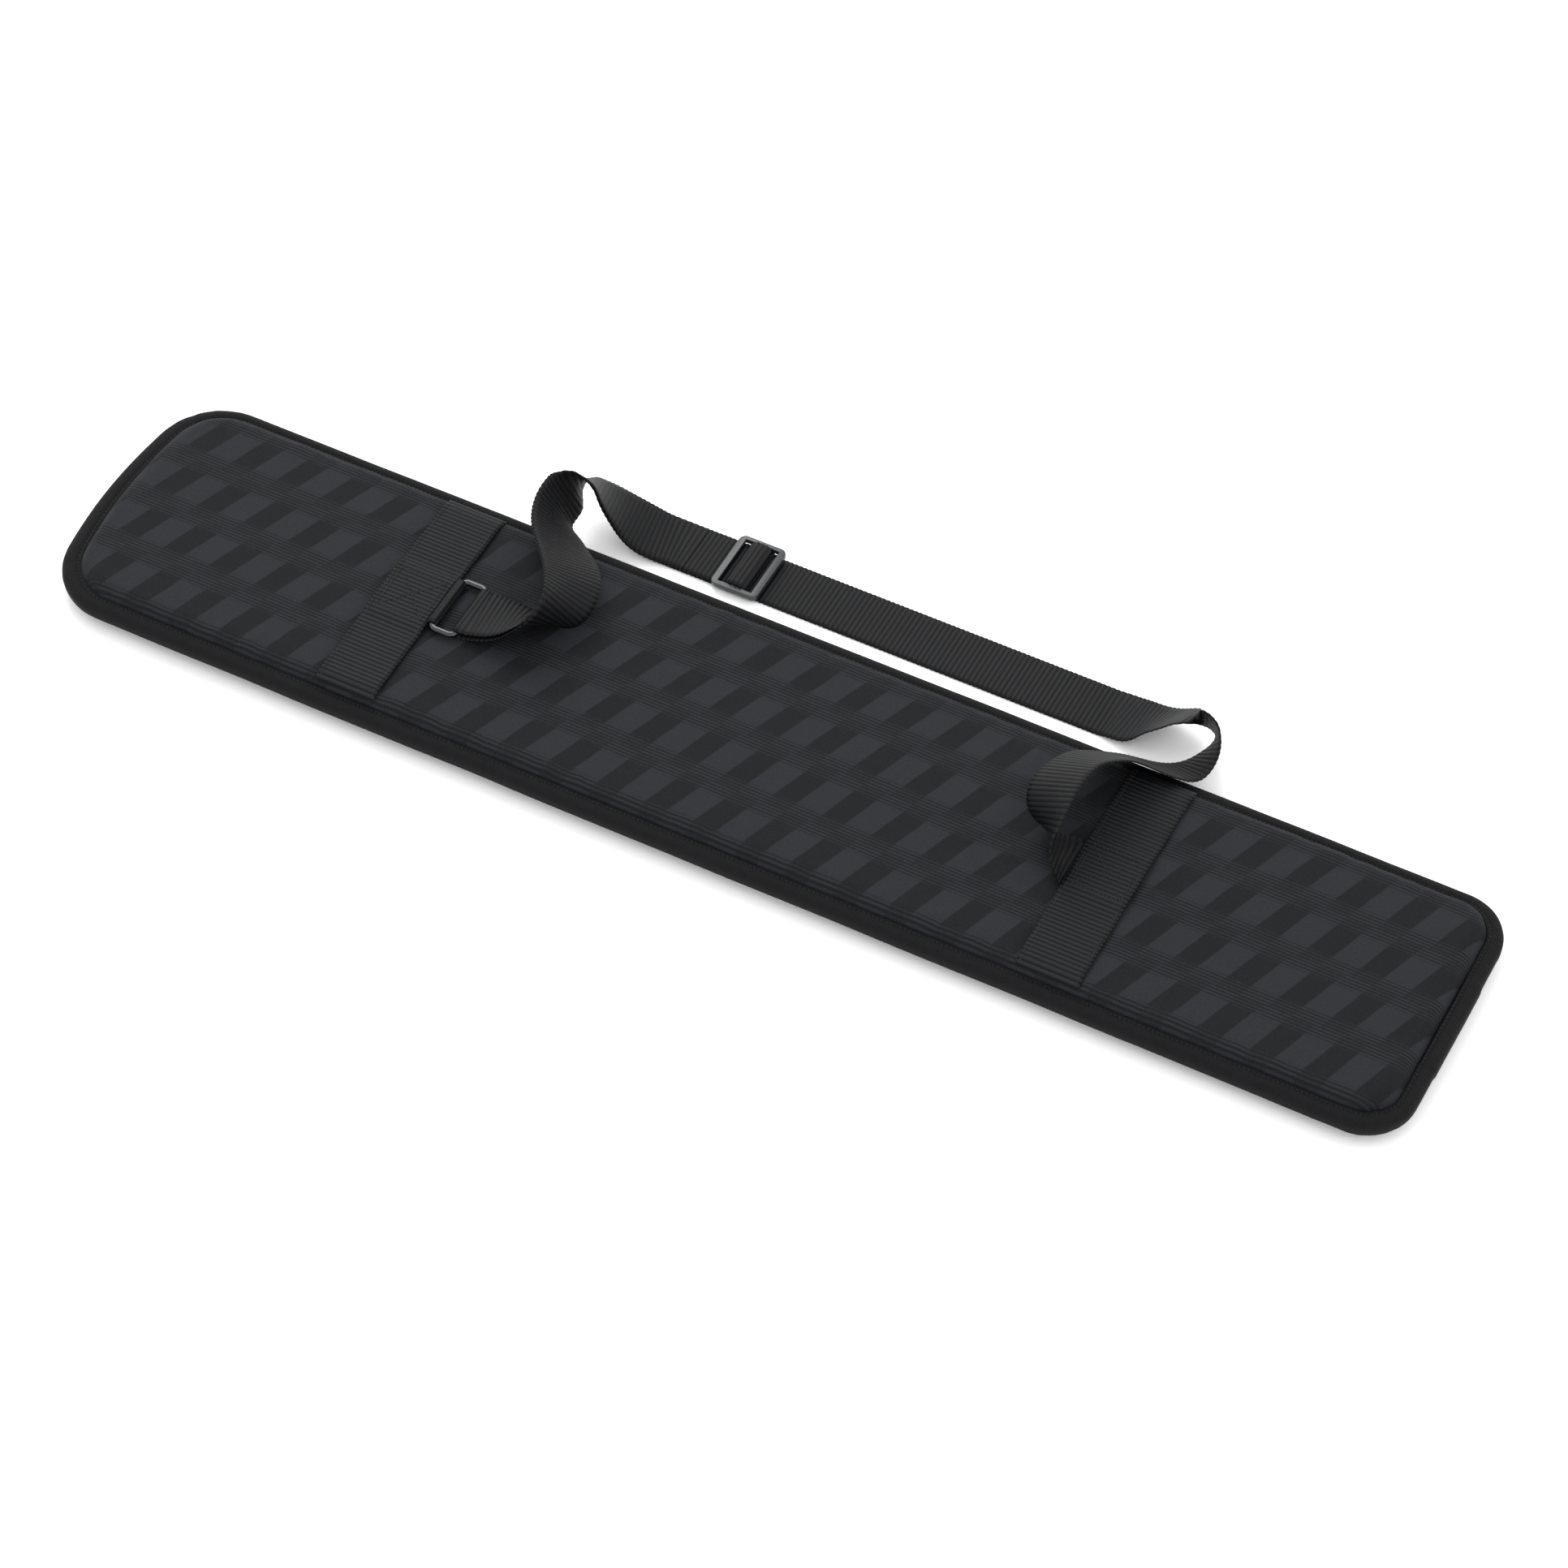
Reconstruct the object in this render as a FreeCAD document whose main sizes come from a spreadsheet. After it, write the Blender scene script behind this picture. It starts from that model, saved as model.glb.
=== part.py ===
"""Padded telescope carry case with a webbing shoulder strap, as a parametric assembly.

Frame: millimetres, +X along the case towards the end where the strap is sewn in, +Y towards the
far long edge beside which the strap lies, +Z up.  The origin is the middle of the flat underside.
"""
import FreeCAD, Part
import Sketcher
import math
import os
import re

Vector = FreeCAD.Vector
doc = FreeCAD.newDocument("telescope_carry_case")

# ---------------------------------------------------------------- driving dimensions (mm)
DIMENSIONS = {
    # case outline and height
    "half_length": 450.0, "half_width": 93.0, "end_bow": 12.0,
    "corner_right": 32.0, "corner_left": 45.0, "half_height": 13.5,
    # edge binding
    "binding_reach": 10.3, "binding_wall": 1.2, "binding_half": 6.4, "binding_round": 3.0,
    # panels, measured up or down from the seam plane
    "fabric_thick": 1.0, "flange_inset": 1.6, "fabric_inset": 10.6, "shoulder_radius": 8.0,
    "fabric_flange_low": 3.9, "foam_inset": 11.9, "foam_flange_low": 1.2, "foam_flange_high": 3.6,
    "foam_low": 5.2, "foam_high": 12.2, "lining_inset": 14.2, "lining_thick": 0.8,
    "lining_flange_low": 0.15, "lining_high": 4.9,
    # webbing
    "band_width": 40.0, "band_left_x": -242.9, "band_right_x": 226.5, "webbing_thick": 1.4,
    "band_gap": 0.3, "hump_half": 22.0, "hump_rise": 1.85, "hump_ramp": 3.0,
    "strap_width": 37.5, "strap_thick": 1.3, "strap_y": 133.6, "strap_run_low": 0.2,
    "layer_gap": 0.3, "sewn_y": -1.8,
    # box stitching
    "stitch_box": 34.0, "stitch_thick": 0.8, "stitch_rise": 0.5,
    # rectangular ring and its tab
    "ring_x": -211.0, "ring_y": 2.0, "ring_z": 31.0, "ring_length": 20.0, "ring_span": 45.6,
    "ring_bar": 3.6, "wrap_clearance": 0.3, "tab_thick": 1.3, "tab_end_x": -255.0,
    # adjuster
    "glide_x": -81.0, "glide_length": 32.0, "glide_span": 44.0, "glide_low": 3.4,
    "glide_thick": 3.4, "glide_bar": 4.2, "glide_side": 2.9, "glide_travel": 220.0,
    # zip in the underside
    "zip_y": 58.0, "zip_half_length": 410.0, "zip_slot_half": 6.0, "zip_lip_high": 5.6,
    "tape_low": 5.9, "tape_thick": 0.6, "tape_width": 12.7, "coil_width": 1.5, "coil_low": 4.7,
    "coil_high": 5.8, "coil_gap": 0.2, "foam_slot_half": 15.0, "lining_slot_half": 8.0,
    "slider_x": 396.0, "slider_length": 13.0, "slider_width": 9.2, "slider_low": 2.8,
    "slider_plate": 1.5, "slider_high": 5.6, "cheek": 2.4, "pin_z": 1.45, "pin_radius": 0.5,
    "eye_radius": 1.2, "eye_width": 3.0, "lug_thick": 1.0, "pull_length": 24.0,
    "pull_width": 6.5, "pull_thick": 1.2,
}

sheet = doc.addObject("Spreadsheet::Sheet", "dims")
for row, (alias, value) in enumerate(DIMENSIONS.items(), start=1):
    sheet.set(f"A{row}", alias)
    sheet.set(f"B{row}", str(value))
    sheet.setAlias(f"B{row}", alias)
doc.recompute()


def dim(alias):
    """Return the value of one cell of the sheet."""
    return float(getattr(sheet, alias))


def expr(text):
    """Turn sheet aliases in a formula into references that setExpression understands."""
    def named(match):
        word = match.group()
        return "dims." + word if word in DIMENSIONS else word

    return re.sub(r"[a-z_]+", named, text)


def value(text):
    """Work a formula out with the sheet's own numbers."""
    def number(match):
        word = match.group()
        return repr(dim(word)) if word in DIMENSIONS else word

    return FreeCAD.Units.parseQuantity(re.sub(r"[a-z_]+", number, text)).Value


# ---------------------------------------------------------------- helpers for parametric solids
def bind(obj, **formulas):
    """Bind properties of an object to formulas in the sheet's aliases."""
    for name, formula in formulas.items():
        obj.setExpression(name.replace("__", "."), expr(str(formula)))
    return obj


def box(name, x0, x1, y0, y1, z0, z1):
    """An axis-aligned block between formulas for its low and high faces."""
    solid = doc.addObject("Part::Box", name)
    bind(solid, Length=f"({x1}) - ({x0})", Width=f"({y1}) - ({y0})", Height=f"({z1}) - ({z0})")
    bind(solid, Placement__Base__x=x0, Placement__Base__y=y0, Placement__Base__z=z0)
    return solid


def rod_y(name, radius, x, y0, y1, z):
    """A cylinder along Y between two formulas."""
    solid = doc.addObject("Part::Cylinder", name)
    solid.Placement = FreeCAD.Placement(Vector(), FreeCAD.Rotation(Vector(1, 0, 0), -90))
    bind(solid, Radius=radius, Height=f"({y1}) - ({y0})")
    bind(solid, Placement__Base__x=x, Placement__Base__y=y0, Placement__Base__z=z)
    return solid


def rod_x(name, radius, x0, x1, y, z):
    """A cylinder along X between two formulas."""
    solid = doc.addObject("Part::Cylinder", name)
    solid.Placement = FreeCAD.Placement(Vector(), FreeCAD.Rotation(Vector(0, 1, 0), 90))
    bind(solid, Radius=radius, Height=f"({x1}) - ({x0})")
    bind(solid, Placement__Base__x=x0, Placement__Base__y=y, Placement__Base__z=z)
    return solid


def ball(name, radius, x, y, z):
    """A sphere at a point given by formulas."""
    solid = doc.addObject("Part::Sphere", name)
    bind(solid, Radius=radius)
    bind(solid, Placement__Base__x=x, Placement__Base__y=y, Placement__Base__z=z)
    return solid


def cut(name, base, tool):
    """Base less tool."""
    result = doc.addObject("Part::Cut", name)
    result.Base, result.Tool = base, tool
    return result


def fuse(name, *shapes):
    """All the shapes as one."""
    result = doc.addObject("Part::MultiFuse", name)
    result.Shapes = list(shapes)
    result.Refine = True
    return result


def common(name, base, tool):
    """What base and tool share."""
    result = doc.addObject("Part::Common", name)
    result.Base, result.Tool = base, tool
    return result


def rounded(name, base, radius, wanted):
    """Fillet the edges of base whose bounding box passes the test, with a radius in mm."""
    doc.recompute()
    result = doc.addObject("Part::Fillet", name)
    result.Base = base
    picked = [i for i, edge in enumerate(base.Shape.Edges, start=1) if wanted(edge.BoundBox)]
    result.Edges = [(i, radius, radius) for i in picked]
    return result


def case_outline():
    """Sketch of the case's plan: three straight sides, a bowed end and four round corners."""
    half_l, half_w, bow = dim("half_length"), dim("half_width"), dim("end_bow")
    right_r, left_r = dim("corner_right"), dim("corner_left")
    bow_radius = (half_w ** 2 + bow ** 2) / (2 * bow)
    bow_x = bow_radius - half_l - bow
    # the left corner's circle touches the long side and, from inside, the bow
    left_y = half_w - left_r
    left_x = bow_x - math.sqrt((bow_radius - left_r) ** 2 - left_y ** 2)
    touch = math.atan2(left_y, left_x - bow_x)
    right_x, right_y = half_l - right_r, half_w - right_r
    quarter = math.pi / 2

    def arc(x, y, radius, start, stop):
        circle = Part.Circle(Vector(x, y, 0), Vector(0, 0, 1), radius)
        return Part.ArcOfCircle(circle, start, stop)

    def line(x0, y0, x1, y1):
        return Part.LineSegment(Vector(x0, y0, 0), Vector(x1, y1, 0))

    sketch = doc.addObject("Sketcher::SketchObject", "case_outline")
    near = sketch.addGeometry(line(left_x, -half_w, right_x, -half_w))
    near_right = sketch.addGeometry(arc(right_x, -right_y, right_r, -quarter, 0))
    right = sketch.addGeometry(line(half_l, -right_y, half_l, right_y))
    far_right = sketch.addGeometry(arc(right_x, right_y, right_r, 0, quarter))
    far = sketch.addGeometry(line(right_x, half_w, left_x, half_w))
    far_left = sketch.addGeometry(arc(left_x, left_y, left_r, quarter, touch))
    end = sketch.addGeometry(arc(bow_x, 0, bow_radius, touch, 2 * math.pi - touch))
    near_left = sketch.addGeometry(arc(left_x, -left_y, left_r, 2 * math.pi - touch, 3 * quarter))
    ring = [near, near_right, right, far_right, far, far_left, end, near_left]
    for first, second in zip(ring, ring[1:] + ring[:1]):
        sketch.addConstraint(Sketcher.Constraint("Tangent", first, 2, second, 1))
    sketch.addConstraint(Sketcher.Constraint("Horizontal", near))
    sketch.addConstraint(Sketcher.Constraint("Horizontal", far))
    sketch.addConstraint(Sketcher.Constraint("Vertical", right))
    sketch.addConstraint(Sketcher.Constraint("PointOnObject", end, 3, -1))
    bow_formula = "(half_width^2 + end_bow^2) / (2 * end_bow)"
    driven = [
        (("Radius", near_right, right_r), "corner_right"),
        (("Radius", far_right, right_r), "corner_right"),
        (("Radius", near_left, left_r), "corner_left"), (("Radius", far_left, left_r), "corner_left"),
        (("Radius", end, bow_radius), bow_formula),
        (("DistanceX", -1, 1, end, 3, bow_x), f"{bow_formula} - half_length - end_bow"),
        (("DistanceX", -1, 1, right, 1, half_l), "half_length"),
        (("DistanceY", -1, 1, far, 1, half_w), "half_width"),
        (("DistanceY", near, 1, -1, 1, half_w), "half_width"),
    ]
    for arguments, formula in driven:
        index = sketch.addConstraint(Sketcher.Constraint(*arguments))
        sketch.setExpression(f"Constraints[{index}]", expr(formula))
    doc.recompute()
    return sketch


outline = case_outline()


def plate(name, inset, low, high):
    """A slab of the case's plan, moved inwards by inset, between two heights."""
    plan = outline
    if inset != "0":
        plan = doc.addObject("Part::Offset2D", name + "_plan")
        plan.Source = outline
        bind(plan, Value=f"-({inset})")
    slab = doc.addObject("Part::Extrusion", name)
    slab.Base = plan
    slab.DirMode = "Custom"
    slab.Dir = Vector(0, 0, 1)
    slab.Solid = True
    bind(slab, LengthFwd=f"({high}) - ({low})", Placement__Base__z=low)
    return slab


def layer(name, side, inset, near, far):
    """A slab of the plan whose faces lie near and far from the seam plane, above or below it."""
    if side > 0:
        return plate(name, inset, f"half_height + {near}", f"half_height + {far}")
    return plate(name, inset, f"half_height - ({far})", f"half_height - ({near})")


def dome(name, side, inset, near, far, radius):
    """A layer whose outer rim is rounded with a radius given by a formula."""
    block = layer(name + "_block", side, inset, near, far)
    rim = value(f"half_height + {far}" if side > 0 else f"half_height - ({far})")
    return rounded(name, block, value(radius),
                   lambda b: abs(b.ZMin - rim) < 0.01 and abs(b.ZMax - rim) < 0.01)


def rim_ring(name, side, outer, inner, near, far):
    """A flat ring of the plan between two insets."""
    return cut(name, layer(name + "_out", side, outer, near, far),
               layer(name + "_in", side, inner, near, far))


def prism_x(name, points, x0, x1):
    """A prism along X over a closed outline of (y, z) formulas."""
    sketch = doc.addObject("Sketcher::SketchObject", name + "_outline")
    turned = FreeCAD.Rotation(Vector(0, 1, 0), Vector(0, 0, 1), Vector(1, 0, 0))
    sketch.Placement = FreeCAD.Placement(Vector(), turned)
    places = [Vector(value(y), value(z), 0) for y, z in points]
    for start, stop in zip(places, places[1:] + places[:1]):
        sketch.addGeometry(Part.LineSegment(start, stop))
    for index, (y, z) in enumerate(points):
        sketch.addConstraint(Sketcher.Constraint("Coincident", index, 2, (index + 1) % len(points), 1))
        driven = (("DistanceX", y, places[index].x), ("DistanceY", z, places[index].y))
        for kind, formula, number in driven:
            row = sketch.addConstraint(Sketcher.Constraint(kind, -1, 1, index, 1, number))
            sketch.setExpression(f"Constraints[{row}]", expr(formula))
    prism = doc.addObject("Part::Extrusion", name)
    prism.Base = sketch
    prism.DirMode = "Custom"
    prism.Dir = Vector(1, 0, 0)
    prism.Solid = True
    bind(prism, LengthFwd=f"({x1}) - ({x0})", Placement__Base__x=x0)
    return prism


NODES = {}


def node(name, solid):
    """Give a finished sub-part the name of its file."""
    solid.Label = name
    NODES[name] = solid
    return solid


# ---------------------------------------------------------------- padded panels
def panel_fabric(name, side):
    """Outer fabric: a shallow tray with rounded shoulders and a flange that the binding holds."""
    skin = cut(name + "_skin",
               dome(name + "_outside", side, "fabric_inset", "fabric_flange_low", "half_height",
                    "shoulder_radius"),
               dome(name + "_inside", side, "fabric_inset + fabric_thick", "fabric_flange_low - 1",
                    "half_height - fabric_thick", "shoulder_radius - fabric_thick"))
    flange = rim_ring(name + "_flange", side, "flange_inset", "fabric_inset + fabric_thick / 2",
                      "fabric_flange_low", "fabric_flange_low + fabric_thick")
    return fuse(name, skin, flange)


def panel_foam(name, side):
    """Foam pad: a slab under the fabric with a thin skirt that runs into the binding."""
    slab = dome(name + "_slab", side, "foam_inset", "foam_low", "foam_high", "shoulder_radius - 1.3")
    skirt = rim_ring(name + "_skirt", side, "foam_inset", "lining_inset - 0.3",
                     "foam_flange_low", "foam_low + 0.5")
    flange = rim_ring(name + "_flange", side, "flange_inset", "foam_inset + 0.5",
                      "foam_flange_low", "foam_flange_high")
    return fuse(name, slab, skirt, flange)


def panel_lining(name, side):
    """Lining: a sheet inside the case, stepped down to the seam plane at its rim."""
    tray = cut(name + "_tray",
               layer(name + "_outside", side, "lining_inset", "lining_flange_low", "lining_high"),
               layer(name + "_inside", side, "lining_inset + lining_thick", "lining_flange_low - 1",
                     "lining_high - lining_thick"))
    flange = rim_ring(name + "_flange", side, "flange_inset", "lining_inset + lining_thick / 2",
                      "lining_flange_low", "lining_flange_low + lining_thick")
    return fuse(name, tray, flange)


def zip_opening(name, half, low, high):
    """The block that is cut out of a front layer along the zip."""
    return box(name, "-zip_half_length", "zip_half_length", f"zip_y - ({half})", f"zip_y + ({half})",
               low, high)


def build_panels():
    """Back panel and front panel, each of fabric, foam and lining."""
    node("back_outer_fabric", panel_fabric("back_fabric", 1))
    node("back_foam_pad", panel_foam("back_foam", 1))
    node("back_lining", panel_lining("back_lining_sheet", 1))
    front = panel_fabric("front_fabric", -1)
    wide = ("-half_length - 50", "half_length + 50")
    near_edge, far_edge = "zip_y - zip_slot_half", "zip_y + zip_slot_half"
    for name, y0, y1, lip0, lip1 in (
            ("main", near_edge, "half_width + 1", f"{near_edge} - fabric_thick", near_edge),
            ("strip", "-half_width - 1", far_edge, far_edge, f"{far_edge} + fabric_thick")):
        other_side = box(f"front_{name}_other", *wide, y0, y1, "-1", "half_height")
        kept = cut(f"front_{name}_kept", front, other_side)
        lip = box(f"front_{name}_lip", "-zip_half_length", "zip_half_length", lip0, lip1,
                  "0", "zip_lip_high")
        node(f"front_outer_{name}", fuse(f"front_{name}_fabric", kept, lip))
    between = box("front_between", *wide, f"{near_edge} + 0.1", f"{far_edge} - 0.1", "-1", "half_height")
    slot = zip_opening("front_slot", "zip_slot_half", "-1", "half_height")
    node("front_zip_facings", cut("facings", common("facings_strip", front, between), slot))
    foam_slot = box("front_foam_slot", "-zip_half_length - 8", "zip_half_length + 8",
                    "zip_y - foam_slot_half", "zip_y + foam_slot_half", "0", "half_height - lining_high")
    node("front_foam_pad", cut("front_foam", panel_foam("front_foam_whole", -1), foam_slot))
    lining_slot = zip_opening("front_lining_slot", "lining_slot_half", "0", "half_height - 1")
    node("front_lining", cut("front_lining_sheet", panel_lining("front_lining_whole", -1), lining_slot))


def build_binding():
    """Binding tape: a channel folded round the edges of both panels."""
    block = layer("binding_block", 1, "0", "-binding_half", "binding_half")
    rims = (value("half_height + binding_half"), value("half_height - binding_half"))
    soft = rounded("binding_soft", block, dim("binding_round"),
                   lambda b: b.ZLength < 0.01 and min(abs(b.ZMin - rim) for rim in rims) < 0.01)
    channel = layer("binding_channel", 1, "binding_wall",
                    "binding_wall - binding_half", "binding_half - binding_wall")
    window = layer("binding_window", 1, "binding_reach", "-binding_half - 1", "binding_half + 1")
    node("edge_binding", cut("binding", cut("binding_open", soft, channel), window))


# ---------------------------------------------------------------- webbing bands across the case
def build_band(side, x):
    """Webbing sewn across the back panel, raised where it covers what is sewn under it."""
    low_x, high_x = f"{x} - band_width / 2", f"{x} + band_width / 2"
    outer = dome(f"band_{side}_outside", 1, "fabric_inset - band_gap - webbing_thick", "2",
                 "half_height + band_gap + webbing_thick", "shoulder_radius + band_gap + webbing_thick")
    inner = dome(f"band_{side}_inside", 1, "fabric_inset - band_gap", "1", "half_height + band_gap",
                 "shoulder_radius + band_gap")
    shell = cut(f"band_{side}_shell", outer, inner)
    reach = box(f"band_{side}_reach", low_x, high_x, "-half_width", "half_width",
                "half_height + binding_half + band_gap", "2 * half_height + 4")
    strip = common(f"band_{side}_strip", shell, reach)
    middle = box(f"band_{side}_middle", f"{low_x} - 1", f"{high_x} + 1", "-hump_half - hump_ramp",
                 "hump_half + hump_ramp", "2 * half_height", "2 * half_height + 4")
    base, lift = "2 * half_height + band_gap", "2 * half_height + band_gap + hump_rise"
    far_foot, near_foot = "hump_half + hump_ramp", "-hump_half - hump_ramp"
    hump = prism_x(f"band_{side}_hump", [
        (near_foot, base), ("-hump_half", lift), ("hump_half", lift), (far_foot, base),
        (far_foot, f"{base} + webbing_thick"), ("hump_half", f"{lift} + webbing_thick"),
        ("-hump_half", f"{lift} + webbing_thick"), (near_foot, f"{base} + webbing_thick"),
    ], low_x, high_x)
    node(f"band_{side}", fuse(f"band_{side}_webbing", cut(f"band_{side}_flat", strip, middle), hump))


def build_box_stitching(side, x):
    """Thread of a square and its diagonals, sewn through the band."""
    half, low = "stitch_box / 2", "2 * half_height + band_gap + hump_rise + webbing_thick + 0.05"
    high = f"{low} + stitch_rise"
    threads = []
    for name, x0, x1, y0, y1 in (
            ("near", f"{x} - {half}", f"{x} + {half}", f"-{half}", f"stitch_thick - {half}"),
            ("far", f"{x} - {half}", f"{x} + {half}", f"{half} - stitch_thick", half),
            ("left", f"{x} - {half}", f"{x} - {half} + stitch_thick", f"-{half}", half),
            ("right", f"{x} + {half} - stitch_thick", f"{x} + {half}", f"-{half}", half)):
        threads.append(box(f"stitch_{side}_{name}", x0, x1, y0, y1, low, high))
    for turn, dx, dy in ((45, "stitch_thick - stitch_run", "-stitch_thick - stitch_run"),
                         (-45, "-stitch_thick - stitch_run", "stitch_run - stitch_thick")):
        thread = doc.addObject("Part::Box", f"stitch_{side}_diagonal")
        thread.Placement = FreeCAD.Placement(Vector(), FreeCAD.Rotation(Vector(0, 0, 1), turn))
        run = "(stitch_box * sqrt(2) - 2)"
        bind(thread, Length=run, Width="stitch_thick", Height="stitch_rise")
        bind(thread, Placement__Base__x=f"{x} + ({dx.replace('stitch_run', run)}) * sqrt(0.5) / 2",
             Placement__Base__y=f"({dy.replace('stitch_run', run)}) * sqrt(0.5) / 2",
             Placement__Base__z=low)
        threads.append(thread)
    node(f"box_stitch_{side}", fuse(f"box_stitch_{side}_thread", *threads))


# ---------------------------------------------------------------- ring, tab and strap eye
TAB_BAR_X = "ring_x - ring_length / 2 + ring_bar / 2"
STRAP_BAR_X = "ring_x + ring_length / 2 - ring_bar / 2"
WRAP_INSIDE = "ring_bar / 2 + wrap_clearance"


def wrap_round_bar(name, x, width):
    """Webbing turned once round a bar of the ring."""
    y0, y1 = f"ring_y - {width} / 2", f"ring_y + {width} / 2"
    return cut(name, rod_y(name + "_out", f"{WRAP_INSIDE} + tab_thick", x, y0, y1, "ring_z"),
               rod_y(name + "_in", WRAP_INSIDE, x, y0, y1, "ring_z"))


def build_ring():
    """Rectangular ring, the tab that holds it and the strap's eye on its other bar."""
    half = "(ring_span / 2 - ring_bar / 2)"
    radius = "ring_bar / 2"
    y0, y1 = f"ring_y - {half}", f"ring_y + {half}"
    pieces = [rod_y("ring_tab_bar", radius, TAB_BAR_X, y0, y1, "ring_z"),
              rod_y("ring_strap_bar", radius, STRAP_BAR_X, y0, y1, "ring_z")]
    for sign in ("-", "+"):
        pieces.append(rod_x("ring_short_bar", radius, TAB_BAR_X, STRAP_BAR_X,
                            f"ring_y {sign} {half}", "ring_z"))
        for x in (TAB_BAR_X, STRAP_BAR_X):
            pieces.append(ball("ring_corner", radius, x, f"ring_y {sign} {half}", "ring_z"))
    node("rectangular_ring", fuse("ring_bars", *pieces))
    loop = wrap_round_bar("tab_loop", TAB_BAR_X, "strap_width")
    outer = f"{WRAP_INSIDE} + tab_thick"
    tongue = box("tab_tongue", "tab_end_x", TAB_BAR_X, "ring_y - strap_width / 2",
                 "ring_y + strap_width / 2", f"ring_z - ({outer})", f"ring_z - ({WRAP_INSIDE})")
    node("ring_tab", fuse("tab_webbing", loop, tongue))
    node("strap_ring_eye", wrap_round_bar("strap_eye", STRAP_BAR_X, "strap_width"))


# ---------------------------------------------------------------- shoulder strap
# Each station is the middle of the strap and the way across it, from its near edge to its far edge.
# The second vector's length is the half width there as a share of the flat one: where the webbing
# rolls over it cups, and its chord gets narrower.
LEFT_LOOP = [
    ((-198.2, 2, 31), (0, 1, 0)), ((-184, 3, 33.2), (-0.05, 0.99, -0.15)),
    ((-168, 5, 37.6), (0, 0.9, -0.44)),
    ((-154, 8, 43.4), (0.22, 0.65, -0.73)), ((-147, 17, 50), (0.51, 0.41, -0.75)),
    ((-149, 32, 53), (0.75, 0.35, -0.55)), ((-160, 51, 49), (0.8, 0.43, -0.43)),
    ((-177, 70, 40.5), (0.74, 0.43, -0.52)), ((-192, 89, 34), (0.61, 0.33, -0.72)),
    ((-199, 105, 32), (0.42, 0.26, -0.87)), ((-197.5, 116, 34), (0.36, 0.33, -0.87)),
    ((-194, 124, 37), (-0.11, 0.51, -0.85)), ((-188, 127, 37), (-0.34, 0.65, -0.68)),
    ((-180, 127, 32), (-0.32, 0.81, -0.49)), ((-169, 127, 22.5), (-0.22, 0.94, -0.26)),
    ((-156, 128.5, 12), (-0.1, 0.99, -0.03)), ((-144, 130.5, 6), (0, 1, 0)),
    ((-132, 132.8, 2.7), (0, 1, 0)), ((-123, 133.55, 1.7), (0, 1, 0)), ((-118, 133.6, 1.65), (0, 1, 0)),
]
RIGHT_LOOP = [
    ((165, 133.6, 0.85), (0, 1, 0)), ((169, 133.55, 1.2), (0, 1, 0)),
    ((174.5, 133, 2.6), (0.08, 1, -0.01)),
    ((183.8, 131.9, 5), (0.07, 1, -0.02)),
    ((192.4, 131.5, 8.8), (0.09, 0.98, -0.14)), ((199.8, 131.7, 13.7), (0.13, 0.94, -0.29)),
    ((206.9, 132.3, 18.5), (0.13, 0.92, -0.38)), ((213.6, 133.4, 23), (0.13, 0.86, -0.41)),
    ((220.2, 134, 26.6), (0.1, 0.54, -0.18)), ((226.6, 134.6, 28), (0.08, -0.15, 0.55)),
    ((232.6, 133.9, 27), (0.13, -0.42, 0.86)), ((237.1, 131.4, 25), (0.19, -0.45, 0.87)),
    ((238.8, 126.7, 22.1), (0.31, -0.44, 0.84)), ((238.5, 120.8, 19.1), (0.46, -0.43, 0.77)),
    ((236.9, 114.3, 16.6), (0.58, -0.42, 0.69)), ((230.2, 101.3, 15.6), (0.74, -0.45, 0.49)),
    ((219.6, 90.8, 23), (0.77, -0.46, 0.45)), ((207.9, 81.3, 33.6), (0.79, -0.4, 0.47)),
    ((197.5, 70.9, 43.9), (0.82, -0.28, 0.49)), ((189.3, 59.1, 52.3), (0.86, -0.22, 0.47)),
    ((183.6, 45.8, 57.8), (0.86, -0.14, 0.48)), ((180.8, 32.3, 59.9), (0.88, -0.09, 0.47)),
    ((180.2, 19.8, 58.9), (0.86, -0.09, 0.5)), ((182, 10, 54.1), (0.77, -0.21, 0.6)),
    ((185.8, 2.8, 46.5), (0.55, -0.5, 0.66)), ((191.5, -1.5, 38.5), (0.27, -0.82, 0.5)),
    ((199.2, -2.2, 31.6), (0.17, -0.96, 0.18)), ((204, -1.85, 28.8), (0.03, -1, 0.02)),
    ((207, -1.8, 28.3), (0, -1, 0)),
]
SECTION_STEP = 4.0
EYE_OPENING = 60.0


def through(points, marks):
    """A smooth curve that passes each point at its mark."""
    curve = Part.BSplineCurve()
    curve.interpolate(Points=points, Parameters=marks)
    return curve


def strap_corners(stations, offset):
    """The strap's four long edges, moved off its middle by offset(distance along it)."""
    places = [Vector(*place) for place, _ in stations]
    half_width = dim("strap_width") / 2
    edges = [place + Vector(*across) * half_width for place, (_, across) in zip(places, stations)]
    marks = [0.0]
    for start, stop in zip(places, places[1:]):
        marks.append(marks[-1] + (stop - start).Length)
    middle, far_edge = through(places, marks), through(edges, marks)
    count = int(marks[-1] / SECTION_STEP)
    corners = [[], [], [], []]
    for index in range(count + 1):
        mark = marks[-1] * index / count
        place, ahead = middle.value(mark), middle.tangent(mark)[0]
        across = far_edge.value(mark) - place
        across -= ahead * across.dot(ahead)
        up = ahead.cross(across).normalize()
        centre = place + up * offset(mark)
        rise = up * (dim("strap_thick") / 2)
        for corner, point in zip(corners, (centre - across - rise, centre + across - rise,
                                           centre + across + rise, centre - across + rise)):
            corner.append(point)
    return corners


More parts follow.
